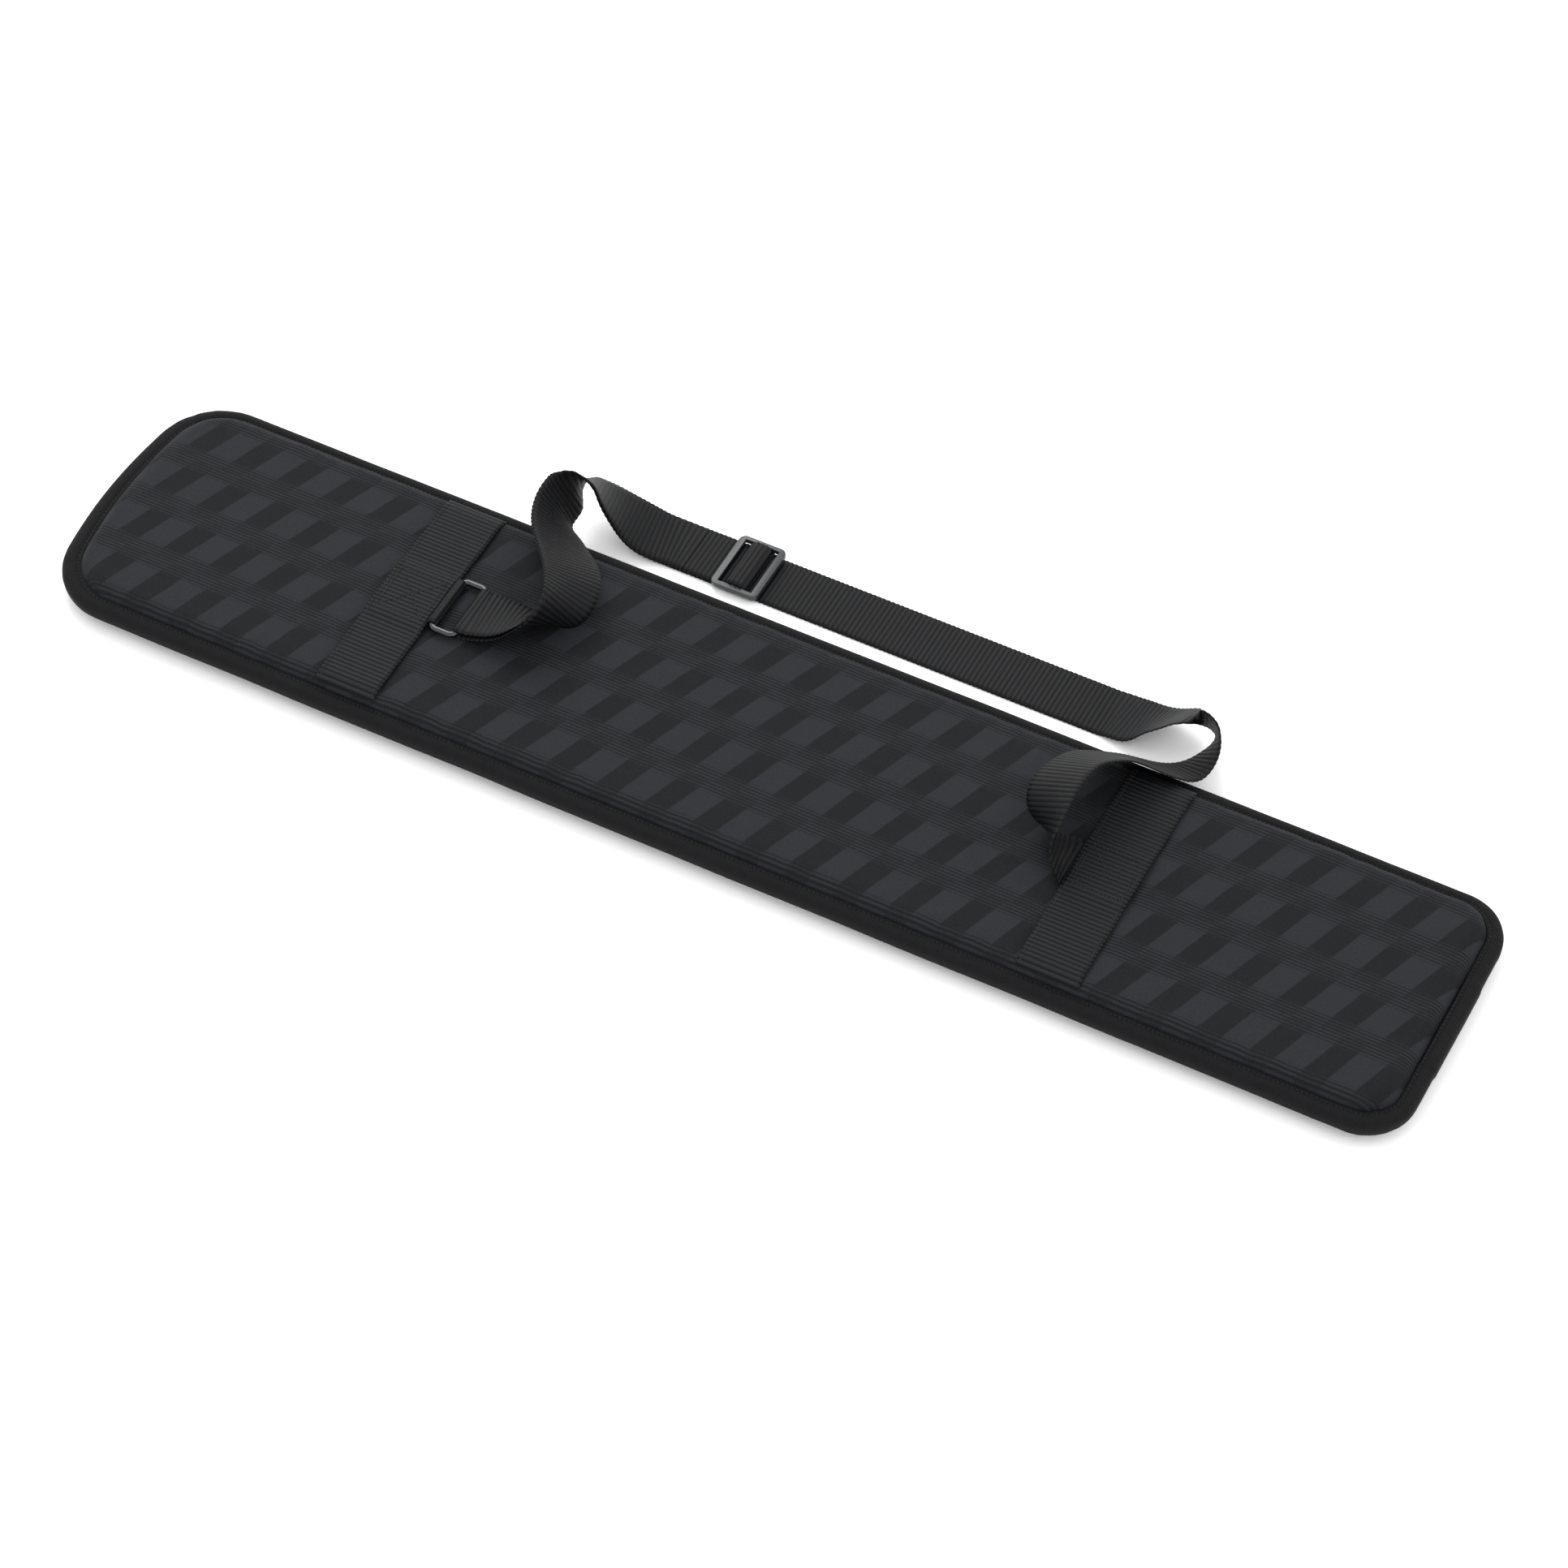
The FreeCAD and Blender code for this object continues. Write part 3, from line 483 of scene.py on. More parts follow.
def dress(piece: bpy.types.Object, finish: Finish, slot: str, body: str, *nodes: str) -> bpy.types.Object:
    """Give a piece its finish, the body it rides on and the nodes it stands for.

    Args:
        piece: The object.
        finish: Its surface finish.
        slot: Not used.
        body: The body that it moves with, or "" for a piece that is attached to no body.
        nodes: The nodes that it replaces.

    Returns:
        The same object.
    """
    piece.data.materials.clear()
    piece.data.materials.append(finish.material())
    if nodes:
        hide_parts(*nodes)
    if body:
        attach(piece, body)
    log.info("%s: %d faces", piece.name, len(piece.data.polygons))
    return piece


def softened_copy(name: str, node: str, width: float) -> bpy.types.Object:
    """Copy a node's solid and round its sharp edges.

    Args:
        name: The new object's name.
        node: The node to copy.
        width: The rounding, in metres.

    Returns:
        The new object.
    """
    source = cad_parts[node]
    piece = bpy.data.objects.new(name, source.data.copy())
    bpy.context.collection.objects.link(piece)
    piece.data.transform(source.matrix_world)
    work = bmesh.new()
    work.from_mesh(piece.data)
    bmesh.ops.remove_doubles(work, verts=work.verts, dist=1e-6)
    bmesh.ops.dissolve_limit(work, angle_limit=math.radians(1), verts=work.verts, edges=work.edges)
    work.to_mesh(piece.data)
    work.free()
    sharp = math.radians(35)
    apply_modifier(piece, "BEVEL", width=width, segments=3, limit_method="ANGLE", angle_limit=sharp)
    activate(piece)
    bpy.ops.object.shade_smooth_by_angle(angle=sharp)
    return piece


# ---------------------------------------------------------------- the case's plan
@dataclass(frozen=True)
class Plan:
    """The case's outline seen from above: three straight sides, a bowed end, four round corners."""

    half_length: float = 0.450
    half_width: float = 0.093
    bow: float = 0.012
    right_radius: float = 0.032
    left_radius: float = 0.045

    @property
    def bow_radius(self) -> float:
        """Radius of the bowed end."""
        return (self.half_width ** 2 + self.bow ** 2) / (2 * self.bow)

    @property
    def bow_x(self) -> float:
        """Where the bow's centre lies."""
        return self.bow_radius - self.half_length - self.bow

    @property
    def left_corner(self) -> tuple[float, float]:
        """Centre of the left corner's circle."""
        y = self.half_width - self.left_radius
        return self.bow_x - math.sqrt((self.bow_radius - self.left_radius) ** 2 - y ** 2), y

    @property
    def right_corner(self) -> tuple[float, float]:
        """Centre of the right corner's circle."""
        return self.half_length - self.right_radius, self.half_width - self.right_radius

    def ends(self, y: float, inset: float) -> tuple[float, float]:
        """The outline's two ends along X at one height across.

        Args:
            y: The place across the case.
            inset: How far the outline is moved inwards.

        Returns:
            The lowest and the highest x.
        """
        y = min(abs(y), self.half_width - inset)
        (left_x, left_y), (right_x, right_y) = self.left_corner, self.right_corner
        radius = self.right_radius - inset
        high = self.half_length - inset
        if y > right_y:
            high = right_x + math.sqrt(max(0.0, radius ** 2 - (y - right_y) ** 2))
        touch = math.atan2(left_y, left_x - self.bow_x)
        if y < (self.bow_radius - inset) * math.sin(touch):
            return self.bow_x - math.sqrt((self.bow_radius - inset) ** 2 - y ** 2), high
        radius = self.left_radius - inset
        return left_x - math.sqrt(max(0.0, radius ** 2 - (y - left_y) ** 2)), high

    def depth(self, x: float, y: float) -> float:
        """Distance of a point inwards from the outline.

        Args:
            x: The point's x.
            y: The point's y.

        Returns:
            The distance in metres.
        """
        y = abs(y)
        (left_x, left_y), (right_x, right_y) = self.left_corner, self.right_corner
        if x > right_x and y > right_y:
            return self.right_radius - math.hypot(x - right_x, y - right_y)
        touch = math.atan2(left_y, left_x - self.bow_x)
        if x < left_x and y > left_y and math.atan2(y - left_y, x - left_x) < touch:
            return self.left_radius - math.hypot(x - left_x, y - left_y)
        sides = [self.half_width - y, self.half_length - x]
        if x < self.bow_x:
            sides.append(self.bow_radius - math.hypot(x - self.bow_x, y))
        return min(sides)

    def rim(self, step: float) -> list[tuple[Vector, Vector]]:
        """Points round the outline with the way outwards at each.

        Args:
            step: The longest distance between two points.

        Returns:
            Pairs of a point and its outward direction, anticlockwise from the near side.
        """
        (left_x, left_y), (right_x, right_y) = self.left_corner, self.right_corner
        touch = math.atan2(left_y, left_x - self.bow_x)
        quarter = math.pi / 2
        found: list[tuple[Vector, Vector]] = []

        def arc(x: float, y: float, radius: float, start: float, stop: float) -> None:
            """Add points round x and y at a radius, from one angle to another."""
            count = max(6, round(radius * (stop - start) / step))
            for index in range(count):
                angle = start + (stop - start) * index / count
                out = Vector((math.cos(angle), math.sin(angle), 0))
                found.append((Vector((x, y, 0)) + out * radius, out))

        def line(x0: float, y0: float, x1: float, y1: float, out: Vector) -> None:
            """Add points from x0 and y0 to x1 and y1, with one way outwards."""
            count = max(2, round(math.hypot(x1 - x0, y1 - y0) / step))
            for index in range(count):
                share = index / count
                found.append((Vector((x0 + (x1 - x0) * share, y0 + (y1 - y0) * share, 0)), out))

        line(left_x, -self.half_width, right_x, -self.half_width, Vector((0, -1, 0)))
        arc(right_x, -right_y, self.right_radius, -quarter, 0)
        line(self.half_length, -right_y, self.half_length, right_y, Vector((1, 0, 0)))
        arc(right_x, right_y, self.right_radius, 0, quarter)
        line(right_x, self.half_width, left_x, self.half_width, Vector((0, 1, 0)))
        arc(left_x, left_y, self.left_radius, quarter, touch)
        arc(self.bow_x, 0, self.bow_radius, touch, 2 * math.pi - touch)
        arc(left_x, -left_y, self.left_radius, 2 * math.pi - touch, 3 * quarter)
        return found


PLAN = Plan()
# Where the middle of each webbing band lies along the case.
BANDS = {"left": -0.2429, "right": 0.2265}
WIDENING = 0.0026
WIDENING_START = 0.405
WIDENING_LENGTH = 0.045


def ease(share: float) -> float:
    """Smooth step: 0 to 1 with level ends, for a share that is first kept from 0 to 1."""
    share = min(1.0, max(0.0, share))
    return share * share * (3 - 2 * share)


def quarter_round(share: float) -> float:
    """Height of a quarter circle over a share from 0 to 1."""
    return math.sqrt(max(0.0, 1 - (1 - share) ** 2))


def widening(x: float) -> float:
    """Extra reach of the binding towards the bowed end.

    Args:
        x: The place along the case.

    Returns:
        The extra reach in metres.
    """
    return WIDENING * ease((-x - WIDENING_START) / WIDENING_LENGTH)


def wave(x: float, y: float, size: float, seed: float) -> float:
    """Smooth unevenness of a given size.

    Args:
        x: The place along the case.
        y: The place across it.
        size: The distance over which it changes.
        seed: A number that picks the pattern.

    Returns:
        A value about from -1 to 1.
    """
    return noise.noise(Vector((x / size, y / size, seed)))


# ---------------------------------------------------------------- padded panels
@dataclass
class BackPanel:
    """The quilt-like back panel: jacquard over a foam pad, crowned between its sewn lines."""

    inset: float = 0.0104
    rim_z: float = 0.0176
    seam_z: float = 0.0188
    top_z: float = 0.0270
    shoulder: float = 0.0085
    crown: float = 0.0009
    dip: float = 0.0009
    broad_swell: float = 0.0007
    short_swell: float = 0.0003
    pucker: float = 0.0011
    columns: int = 330
    rows: int = 74
    surface: Surface | None = None

    def height(self, x: float, y: float) -> float:
        """Height of the cloth over a point of the plan.

        Args:
            x: The point's x.
            y: The point's y.

        Returns:
            The cloth's z.
        """
        inside = max(0.0, PLAN.depth(x, y) - self.inset - widening(x))
        share = min(1.0, inside / self.shoulder)
        rise = (self.top_z - self.seam_z) * quarter_round(share)
        crown = self.crown * (1 - math.exp(-inside / 0.03))
        sewn = sum(math.exp(-((abs(x - place) - 0.0195) / 0.006) ** 2) for place in BANDS.values())
        broad = self.broad_swell * wave(x, y, 0.075, 1.7) + self.short_swell * wave(x, y, 0.028, 4.2)
        near_rim = math.exp(-((inside - 0.006) / 0.008) ** 2)
        pucker = self.pucker * wave(x * 2.2, y * 0.6, 0.02, 8.1) * near_rim
        return self.seam_z + rise + (crown + broad) * share - self.dip * sewn * share + pucker

    def form(self) -> bpy.types.Object:
        """Build the closed pad: a crowned top, short walls and a flat underside.

        Returns:
            The object.
        """
        half = PLAN.half_width - self.inset
        points: list[tuple[float, float, float]] = []
        for row in range(self.rows + 1):
            y = half * math.sin((row / self.rows - 0.5) * math.pi)
            low, high = PLAN.ends(y, self.inset)
            for column in range(self.columns + 1):
                share = column / self.columns
                crowded = low + (high - low) * (1 - math.cos(share * math.pi)) / 2
                x = 0.25 * crowded + 0.75 * (low + (high - low) * share)
                points.append((x, y, self.height(x, y)))
        wide = self.columns + 1
        faces = [(r * wide + c, r * wide + c + 1, (r + 1) * wide + c + 1, (r + 1) * wide + c)
                 for r in range(self.rows) for c in range(self.columns)]
        edge = grid_rim(self.rows, self.columns)
        start = len(points)
        points += [(points[i][0], points[i][1], self.rim_z) for i in edge]
        count = len(edge)
        faces += [(edge[i], start + i, start + (i + 1) % count, edge[(i + 1) % count]) for i in range(count)]
        faces.append(tuple(start + i for i in range(count - 1, -1, -1)))
        piece = make_piece("back_panel", points, faces)
        face_outward(piece)
        return piece

    def build(self) -> None:
        piece = self.form()
        self.surface = top_of(search_tree(piece), self.seam_z)
        dress(piece, PANEL_CLOTH, "panel_cloth", "case", "back_outer_fabric", "back_foam_pad")


@dataclass
class FrontPanel:
    """The panel that the case lies on, in two parts with the zip's slot between them."""

    inset: float = 0.0104
    zip_y: float = 0.058
    slot_half: float = 0.0062
    slot_reach: float = 0.411
    rim_z: float = 0.0094
    seam_z: float = 0.0082
    shoulder: float = 0.0075
    swell: float = 0.0004
    lip: float = 0.0010
    columns: int = 260

    def low(self, x: float, y: float, slot: float) -> float:
        """Height of the cloth on the underside.

        Args:
            x: The point's x.
            y: The point's y.
            slot: Distance from the slot's edge.

        Returns:
            The cloth's z.
        """
        inside = max(0.0, PLAN.depth(x, y) - self.inset)
        share = min(1.0, inside / self.shoulder)
        rise = self.seam_z * quarter_round(share)
        lip = self.lip * max(0.0, 1 - slot / 0.0015) ** 2
        return self.seam_z - rise + self.swell * (1 + wave(x, y, 0.05, 3.3)) * share + lip * share

    def part(self, name: str, sign: int, rows: int) -> bpy.types.Object:
        """Build one part as a closed pad.

        Args:
            name: The object's name.
            sign: -1 for the wide part, on the near side of the zip, and 1 for the strip beyond it.
            rows: How many rows of faces it has.

        Returns:
            The object.
        """
        half = PLAN.half_width - self.inset
        mouth = self.zip_y + sign * self.slot_half
        points: list[tuple[float, float, float]] = []
        wide = self.columns + 1
        for level in (0, 1):
            for row in range(rows + 1):
                share = row / rows
                spread = (1 - math.cos(share * math.pi)) / 2
                y = mouth + (sign * half - mouth) * (0.5 * share + 0.5 * spread if share < 1 else 1.0)
                low, high = PLAN.ends(y, self.inset)
                for column in range(wide):
                    x = low + (high - low) * column / self.columns
                    past = min(1.0, max(0.0, (abs(x) - self.slot_reach) / 0.003))
                    moved = y - sign * (self.slot_half - 0.0001) * past * (1 - share) ** 8
                    slot = abs(y - mouth) + past
                    near_zip = 1 / (1 + math.exp((abs(moved - self.zip_y) - 0.0155) / 0.0007))
                    ceiling = self.rim_z - 0.0011 - 0.0026 * near_zip
                    z = ceiling if level else min(self.low(x, moved, slot), ceiling - 0.0006)
                    points.append((x, moved, z))
        layer = (rows + 1) * wide
        faces: list[tuple[int, ...]] = []
        for row in range(rows):
            for column in range(self.columns):
                a, b = row * wide + column, (row + 1) * wide + column
                faces.append((a, a + 1, b + 1, b))
                faces.append((layer + a, layer + b, layer + b + 1, layer + a + 1))
        edge = grid_rim(rows, self.columns)
        faces += [(edge[i], edge[(i + 1) % len(edge)], layer + edge[(i + 1) % len(edge)], layer + edge[i])
                  for i in range(len(edge))]
        piece = make_piece(name, points, faces)
        face_outward(piece)
        return piece

    def build(self) -> None:
        """Build and dress both parts."""
        main = dress(self.part("front_panel_main", -1, 56), PANEL_CLOTH, "panel_cloth", "case",
                     "front_outer_main", "front_zip_facings", "front_foam_pad")
        strip = dress(self.part("front_panel_strip", 1, 20), PANEL_CLOTH, "panel_cloth", "case",
                      "front_outer_strip")


# ---------------------------------------------------------------- stitches
@dataclass(frozen=True)
class Seam:
    """A row of machine stitches: short twisted threads laid end to end."""

    pitch: float = 0.0028
    thread: float = 0.00055
    share: float = 0.74

    def sew(self, name: str, runs: Sequence[Sequence[Vector]], lift: Surface,
            nodes: Sequence[str] = ()) -> bpy.types.Object:
        """Sew along some runs.

        Args:
            name: The object's name.
            runs: The corners of each run.
            lift: The height of what is sewn, over a point.
            nodes: The nodes that the stitches stand for.

        Returns:
            The object.
        """
        points: list[Vector] = []
        faces: list[tuple[int, ...]] = []
        for run in runs:
            marks = [0.0]
            for start, stop in zip(run, run[1:]):
                marks.append(marks[-1] + (stop - start).length)
            count = max(1, round(marks[-1] / self.pitch))
            leg = 0
            for index in range(count):
                mark = marks[-1] * (index + 0.5) / count
                while marks[leg + 1] < mark:
                    leg += 1
                ahead = (run[leg + 1] - run[leg]).normalized()
                place = run[leg] + ahead * (mark - marks[leg])
                self.stitch(points, faces, place, ahead, lift)
        piece = make_piece(name, points, faces)
        face_outward(piece)
        return dress(piece, THREAD, "thread", "case", *nodes)

    def stitch(self, points: list[Vector], faces: list[tuple[int, ...]], place: Vector, ahead: Vector,
               lift: Surface) -> None:
        """Add one stitch, a bead with six sides and pointed ends that dip into the cloth.

        Args:
            points: The vertices so far, which it adds to.
            faces: The faces so far, which it adds to.
            place: The stitch's middle, in plan.
            ahead: The way it runs, in plan.
            lift: The height of what is sewn, over a point.
        """
        side = Vector((-ahead.y, ahead.x, 0))
        half = self.pitch * self.share / 2
        start = len(points)
        stations = ((-1.0, 0.25, -0.9), (-0.6, 0.9, 0.0), (0.0, 1.0, 0.15), (0.6, 0.9, 0.0),
                    (1.0, 0.25, -0.9))
        for along, size, rise in stations:
            middle = place + ahead * half * along
            z = lift(middle.x, middle.y) + self.thread * 0.45 * rise
            for turn in range(6):
                angle = turn * math.pi / 3
                spot = middle + side * (self.thread * size * math.cos(angle))
                points.append(Vector((spot.x, spot.y, z + self.thread * 0.8 * size * math.sin(angle))))
        add_bead(faces, start, len(stations))


# ---------------------------------------------------------------- edge binding
@dataclass
class Binding:
    """Twill tape folded round the case's edge, with a sewn line and puckers at the corners."""

    reach: float = 0.0103
    low_z: float = 0.0071
    high_z: float = 0.0199
    wall: float = 0.0012
    step: float = 0.0022
    lap: tuple[float, float] = (-0.035, 0.033)
    lap_x: float = 0.42
    lap_thickness: float = 0.0006
    seam_inset: float = 0.0082
    inner_points: int = 8

    def profile(self) -> list[tuple[float, float]]:
        """The tape's cross section round a closed channel.

        Returns:
            Pairs of inset and height, the outer face first and then the inner one.
        """
        top = [(self.reach, self.high_z - 0.0010), (self.reach - 0.0002, self.high_z - 0.0002),
               (self.reach - 0.0008, self.high_z), (self.reach - 0.0016, self.high_z - 0.0005),
               (self.reach - 0.0021, self.high_z - 0.0007), (self.reach - 0.0027, self.high_z - 0.0003),
               (0.0062, self.high_z + 0.0002), (0.0045, self.high_z), (0.0028, self.high_z - 0.0006),
               (0.0014, self.high_z - 0.0016), (0.0004, self.high_z - 0.0032), (0.0, 0.0150)]
        middle = (self.low_z + self.high_z) / 2
        outer = top + [(inset, 2 * middle - z) for inset, z in reversed(top[:-1])]
        inner = [(self.reach, self.low_z + self.wall), (self.reach - 0.003, self.low_z + self.wall),
                 (0.003, self.low_z + self.wall), (self.wall, middle - 0.003), (self.wall, middle + 0.003),
                 (0.003, self.high_z - self.wall), (self.reach - 0.003, self.high_z - self.wall),
                 (self.reach, self.high_z - self.wall)]
        return outer + inner

    def crumple(self, spot: Vector, inset: float) -> tuple[float, float]:
        """How far the tape strays from a true fold.

        Args:
            spot: The point on the outline.
            inset: How far inwards the point of the tape lies.

        Returns:
            The moves outwards and upwards.
        """
        near_end = max(0.0, min(1.0, (abs(spot.x) - 0.385) / 0.04))
        turning = max(0.0, 1 - abs(abs(spot.y) - 0.080) / 0.030) * near_end
        along = spot.x + spot.y * 1.7
        out = 0.00035 * wave(spot.x, spot.y, 0.05, 2.5) + 0.0004 * turning * wave(along, 0, 0.010, 5.5)
        fold = wave(along, inset * 0.4, 0.0085, 9.5)
        up = 0.00025 * wave(spot.x, spot.y, 0.022, 6.1) + 0.0009 * turning * fold
        return out, up * (0.4 + 0.6 * min(1.0, inset / 0.006))

    def doubled(self, spot: Vector) -> float:
        """Extra thickness where the tape's end laps over its start, on the right end.

        Args:
            spot: The point on the outline.

        Returns:
            The thickness in metres.
        """
        if spot.x < self.lap_x:
            return 0.0
        low, high = self.lap
        edge = min(spot.y - low, high - spot.y)
        return self.lap_thickness * min(1.0, max(0.0, edge / 0.0012 + 0.5))

    def build(self) -> None:
        """Build and dress the tape and its sewn line."""
        rim = PLAN.rim(self.step)
        profile = self.profile()
        outer_count = len(profile) - self.inner_points
        middle = (self.low_z + self.high_z) / 2
        points: list[Vector] = []
        for spot, outward in rim:
            for index, (inset, z) in enumerate(profile):
                out, up = self.crumple(spot, inset)
                if index >= outer_count:
                    out, up = 0.0, 0.0
                else:
                    out += self.doubled(spot)
                    up += self.doubled(spot) * (1 if z > middle else 0)
                side = 1 if z > middle else -0.4
                inset *= 1 + widening(spot.x) / self.reach
                points.append(spot - outward * (inset - out) + Vector((0, 0, z + up * side)))
        piece = make_piece("edge_binding_tape", points, ring_faces(len(rim), len(profile)))
        face_outward(piece)
        dress(piece, BINDING_TWILL, "binding", "case", "edge_binding")
        run = [spot - outward * self.seam_inset * (1 + widening(spot.x) / self.reach)
               for spot, outward in rim]
        top = top_of(search_tree(piece), self.high_z)
        Seam(pitch=0.0030, thread=0.00045).sew("binding_seam_top", [run + run[:1]], top)


# ---------------------------------------------------------------- webbing
@dataclass
class Ribbon:
    """A length of ribbed webbing, given as sections from one end to the other."""

    thick: float = 0.0013
    rib: float = 0.0032
    rib_height: float = 0.00035
    scallop: float = 0.018
    samples: int = 6
    across: int = 10

    def lay(self, name: str, course: Course, length: float) -> bpy.types.Object:
        """Lay the webbing along a course.

        Args:
            name: The object's name.
            course: Gives the middle and the half-width vector at a distance along it.
            length: The course's length.

        Returns:
            The object.
        """
        ribs = max(1, round(length / self.rib))
        count = ribs * self.samples
        middles = [course(length * index / count) for index in range(count + 1)]
        points: list[Vector] = []
        spots: list[tuple[float, float]] = []
        for index, (middle, half) in enumerate(middles):
            before, after = middles[max(0, index - 1)][0], middles[min(count, index + 1)][0]
            up = (after - before).cross(half).normalized()
            swell = abs(math.sin(math.pi * index / self.samples)) ** 0.7
            scallop = 1 + self.scallop * swell
            for side in (1, -1):
                for step in range(self.across + 1):
                    place = (2 * step / self.across - 1) * side
                    edge = 1 - 0.35 * abs(place) ** 12
                    rise = side * (self.thick / 2 - self.rib_height * (1 - swell)) * edge
                    points.append(middle + half * place * scallop + up * rise)
                    spots.append((index / self.samples, place * half.length))
        wide = 2 * (self.across + 1)
        faces = [(r * wide + c, r * wide + (c + 1) % wide, (r + 1) * wide + (c + 1) % wide,
                  (r + 1) * wide + c) for r in range(count) for c in range(wide)]
        faces.append(tuple(range(wide - 1, -1, -1)))
        faces.append(tuple(count * wide + c for c in range(wide)))
        piece = make_piece(name, points, faces, spots)
        face_outward(piece)
        return piece


def smooth_course(stations: Sequence[Station], half_width: float) -> tuple[Course, float]:
    """A smooth way through stations.

    Args:
        stations: The middle, in millimetres, and the way across at each station. The second vector's
            length gives the half width as a share of half_width.
        half_width: Half of the webbing's width, in metres.

    Returns:
        The course, and its length.
    """
    middles = np.array([place for place, _ in stations], float) * MM
    edges = middles + np.array([across for _, across in stations], float) * half_width
    marks = np.concatenate([[0.0], np.cumsum(np.linalg.norm(np.diff(middles, axis=0), axis=1))])
    slopes = [natural_slopes(marks, values) for values in (middles, edges)]

    def course(mark: float) -> tuple[Vector, Vector]:
        """The middle and the half-width vector at a distance along the course."""
        middle, ahead = cubic(marks, middles, slopes[0], mark)
        edge, _ = cubic(marks, edges, slopes[1], mark)
        ahead /= np.linalg.norm(ahead)
        across = edge - middle
        across -= ahead * across.dot(ahead)
        return Vector(middle), Vector(across)

    return course, float(marks[-1])


def natural_slopes(marks: np.ndarray, values: np.ndarray) -> np.ndarray:
    """Slopes of the natural cubic spline through values at marks.

    Args:
        marks: The places along the line.
        values: The points at those places.

    Returns:
        The slope at each place.
    """
    count = len(marks)
    steps = np.diff(marks)
    rises = np.diff(values, axis=0) / steps[:, None]
    matrix, right = np.zeros((count, count)), np.zeros_like(values)
    matrix[0, :2], right[0] = (2, 1), 3 * rises[0]
    matrix[-1, -2:], right[-1] = (1, 2), 3 * rises[-1]
    for index in range(1, count - 1):
        before, after = steps[index - 1], steps[index]
        matrix[index, index - 1:index + 2] = (after, 2 * (before + after), before)
        right[index] = 3 * (after * rises[index - 1] + before * rises[index])
    return np.linalg.solve(matrix, right)


def cubic(marks: np.ndarray, values: np.ndarray, slopes: np.ndarray,
          mark: float) -> tuple[np.ndarray, np.ndarray]:
    """Point and slope of a cubic spline at one mark.

    Args:
        marks: The places along the line.
        values: The points at those places.
        slopes: The slopes there.
        mark: The place that is asked for.

    Returns:
        The point and the slope.
    """
    leg = int(np.clip(np.searchsorted(marks, mark) - 1, 0, len(marks) - 2))
    span = marks[leg + 1] - marks[leg]
    t = (mark - marks[leg]) / span
    a, b, m, n = values[leg], values[leg + 1], slopes[leg] * span, slopes[leg + 1] * span
    point = a + m * t + (3 * (b - a) - 2 * m - n) * t * t + (2 * (a - b) + m + n) * t ** 3
    slope = (m + 2 * (3 * (b - a) - 2 * m - n) * t + 3 * (2 * (a - b) + m + n) * t * t) / span
    return point, slope


@dataclass
class Band:
    """Webbing sewn across the back panel, raised over what is sewn under its middle."""

    side: str
    x: float
    box: tuple[float, float, float, float]
    half_width: float = 0.020
    end_y: float = 0.0815
    hump_half: float = 0.022
    hump_rise: float = 0.0016
    thick: float = 0.0014
    rib: float = 0.00305
    seam_inset: float = 0.0019
    top_z: float = 0.0285
    samples: int = 120

    def lift(self, panel: BackPanel, y: float) -> float:
        """Height of the band's middle surface over the panel.

        Args:
            panel: The panel that it is sewn to.
            y: The place across the case.

        Returns:
            The z.
        """
        ramp = ease((self.hump_half + 0.004 - abs(y)) / 0.006)
        under = max(panel.surface(self.x + shift, y) for shift in (-0.015, 0.0, 0.015))
        return under + 0.0002 + self.thick / 2 + self.hump_rise * ramp

    def build(self, panel: BackPanel) -> None:
        """Build and dress the band and its stitches.

        Args:
            panel: The panel that it is sewn to.
        """
        samples = self.samples
        heights = [self.lift(panel, self.end_y * (2 * index / samples - 1)) for index in range(samples + 1)]
        windows = [heights[max(0, index - 2):index + 3] for index in range(samples + 1)]
        smooth = [sum(window) / len(window) for window in windows]

        def course(mark: float) -> tuple[Vector, Vector]:
            """The middle and the half-width vector at a distance along the band."""
            share = min(samples - 1e-9, mark / (2 * self.end_y) * samples)
            leg = int(share)
            z = smooth[leg] + (smooth[leg + 1] - smooth[leg]) * (share - leg)
            y = mark - self.end_y
            x = self.x + 0.0003 * wave(y, 0, 0.02, self.x * 9)
            return Vector((x, y, z)), Vector((-self.half_width, 0, 0))

        ribbon = Ribbon(thick=self.thick, rib=self.rib, samples=8, across=14)
        piece = ribbon.lay("webbing_band_" + self.side, course, 2 * self.end_y)
        dress(piece, BAND_WEBBING, "band_webbing", "case", "band_" + self.side)
        top = top_of(search_tree(piece), self.top_z)
        low_x, high_x, low_y, high_y = self.box
        line, end = self.half_width - self.seam_inset, self.end_y - 0.001
        sides = [[Vector((self.x + side * line, y, 0)) for y in (-end, end)] for side in (-1, 1)]
        Seam().sew("band_edge_seams_" + self.side, sides, top)
        corners = [Vector((low_x, low_y, 0)), Vector((high_x, low_y, 0)), Vector((high_x, high_y, 0)),
                   Vector((low_x, high_y, 0))]
        runs = [corners + corners[:1], [corners[0], corners[2]], [corners[1], corners[3]]]
        Seam().sew("box_x_seam_" + self.side, runs, top, nodes=("box_stitch_" + self.side,))


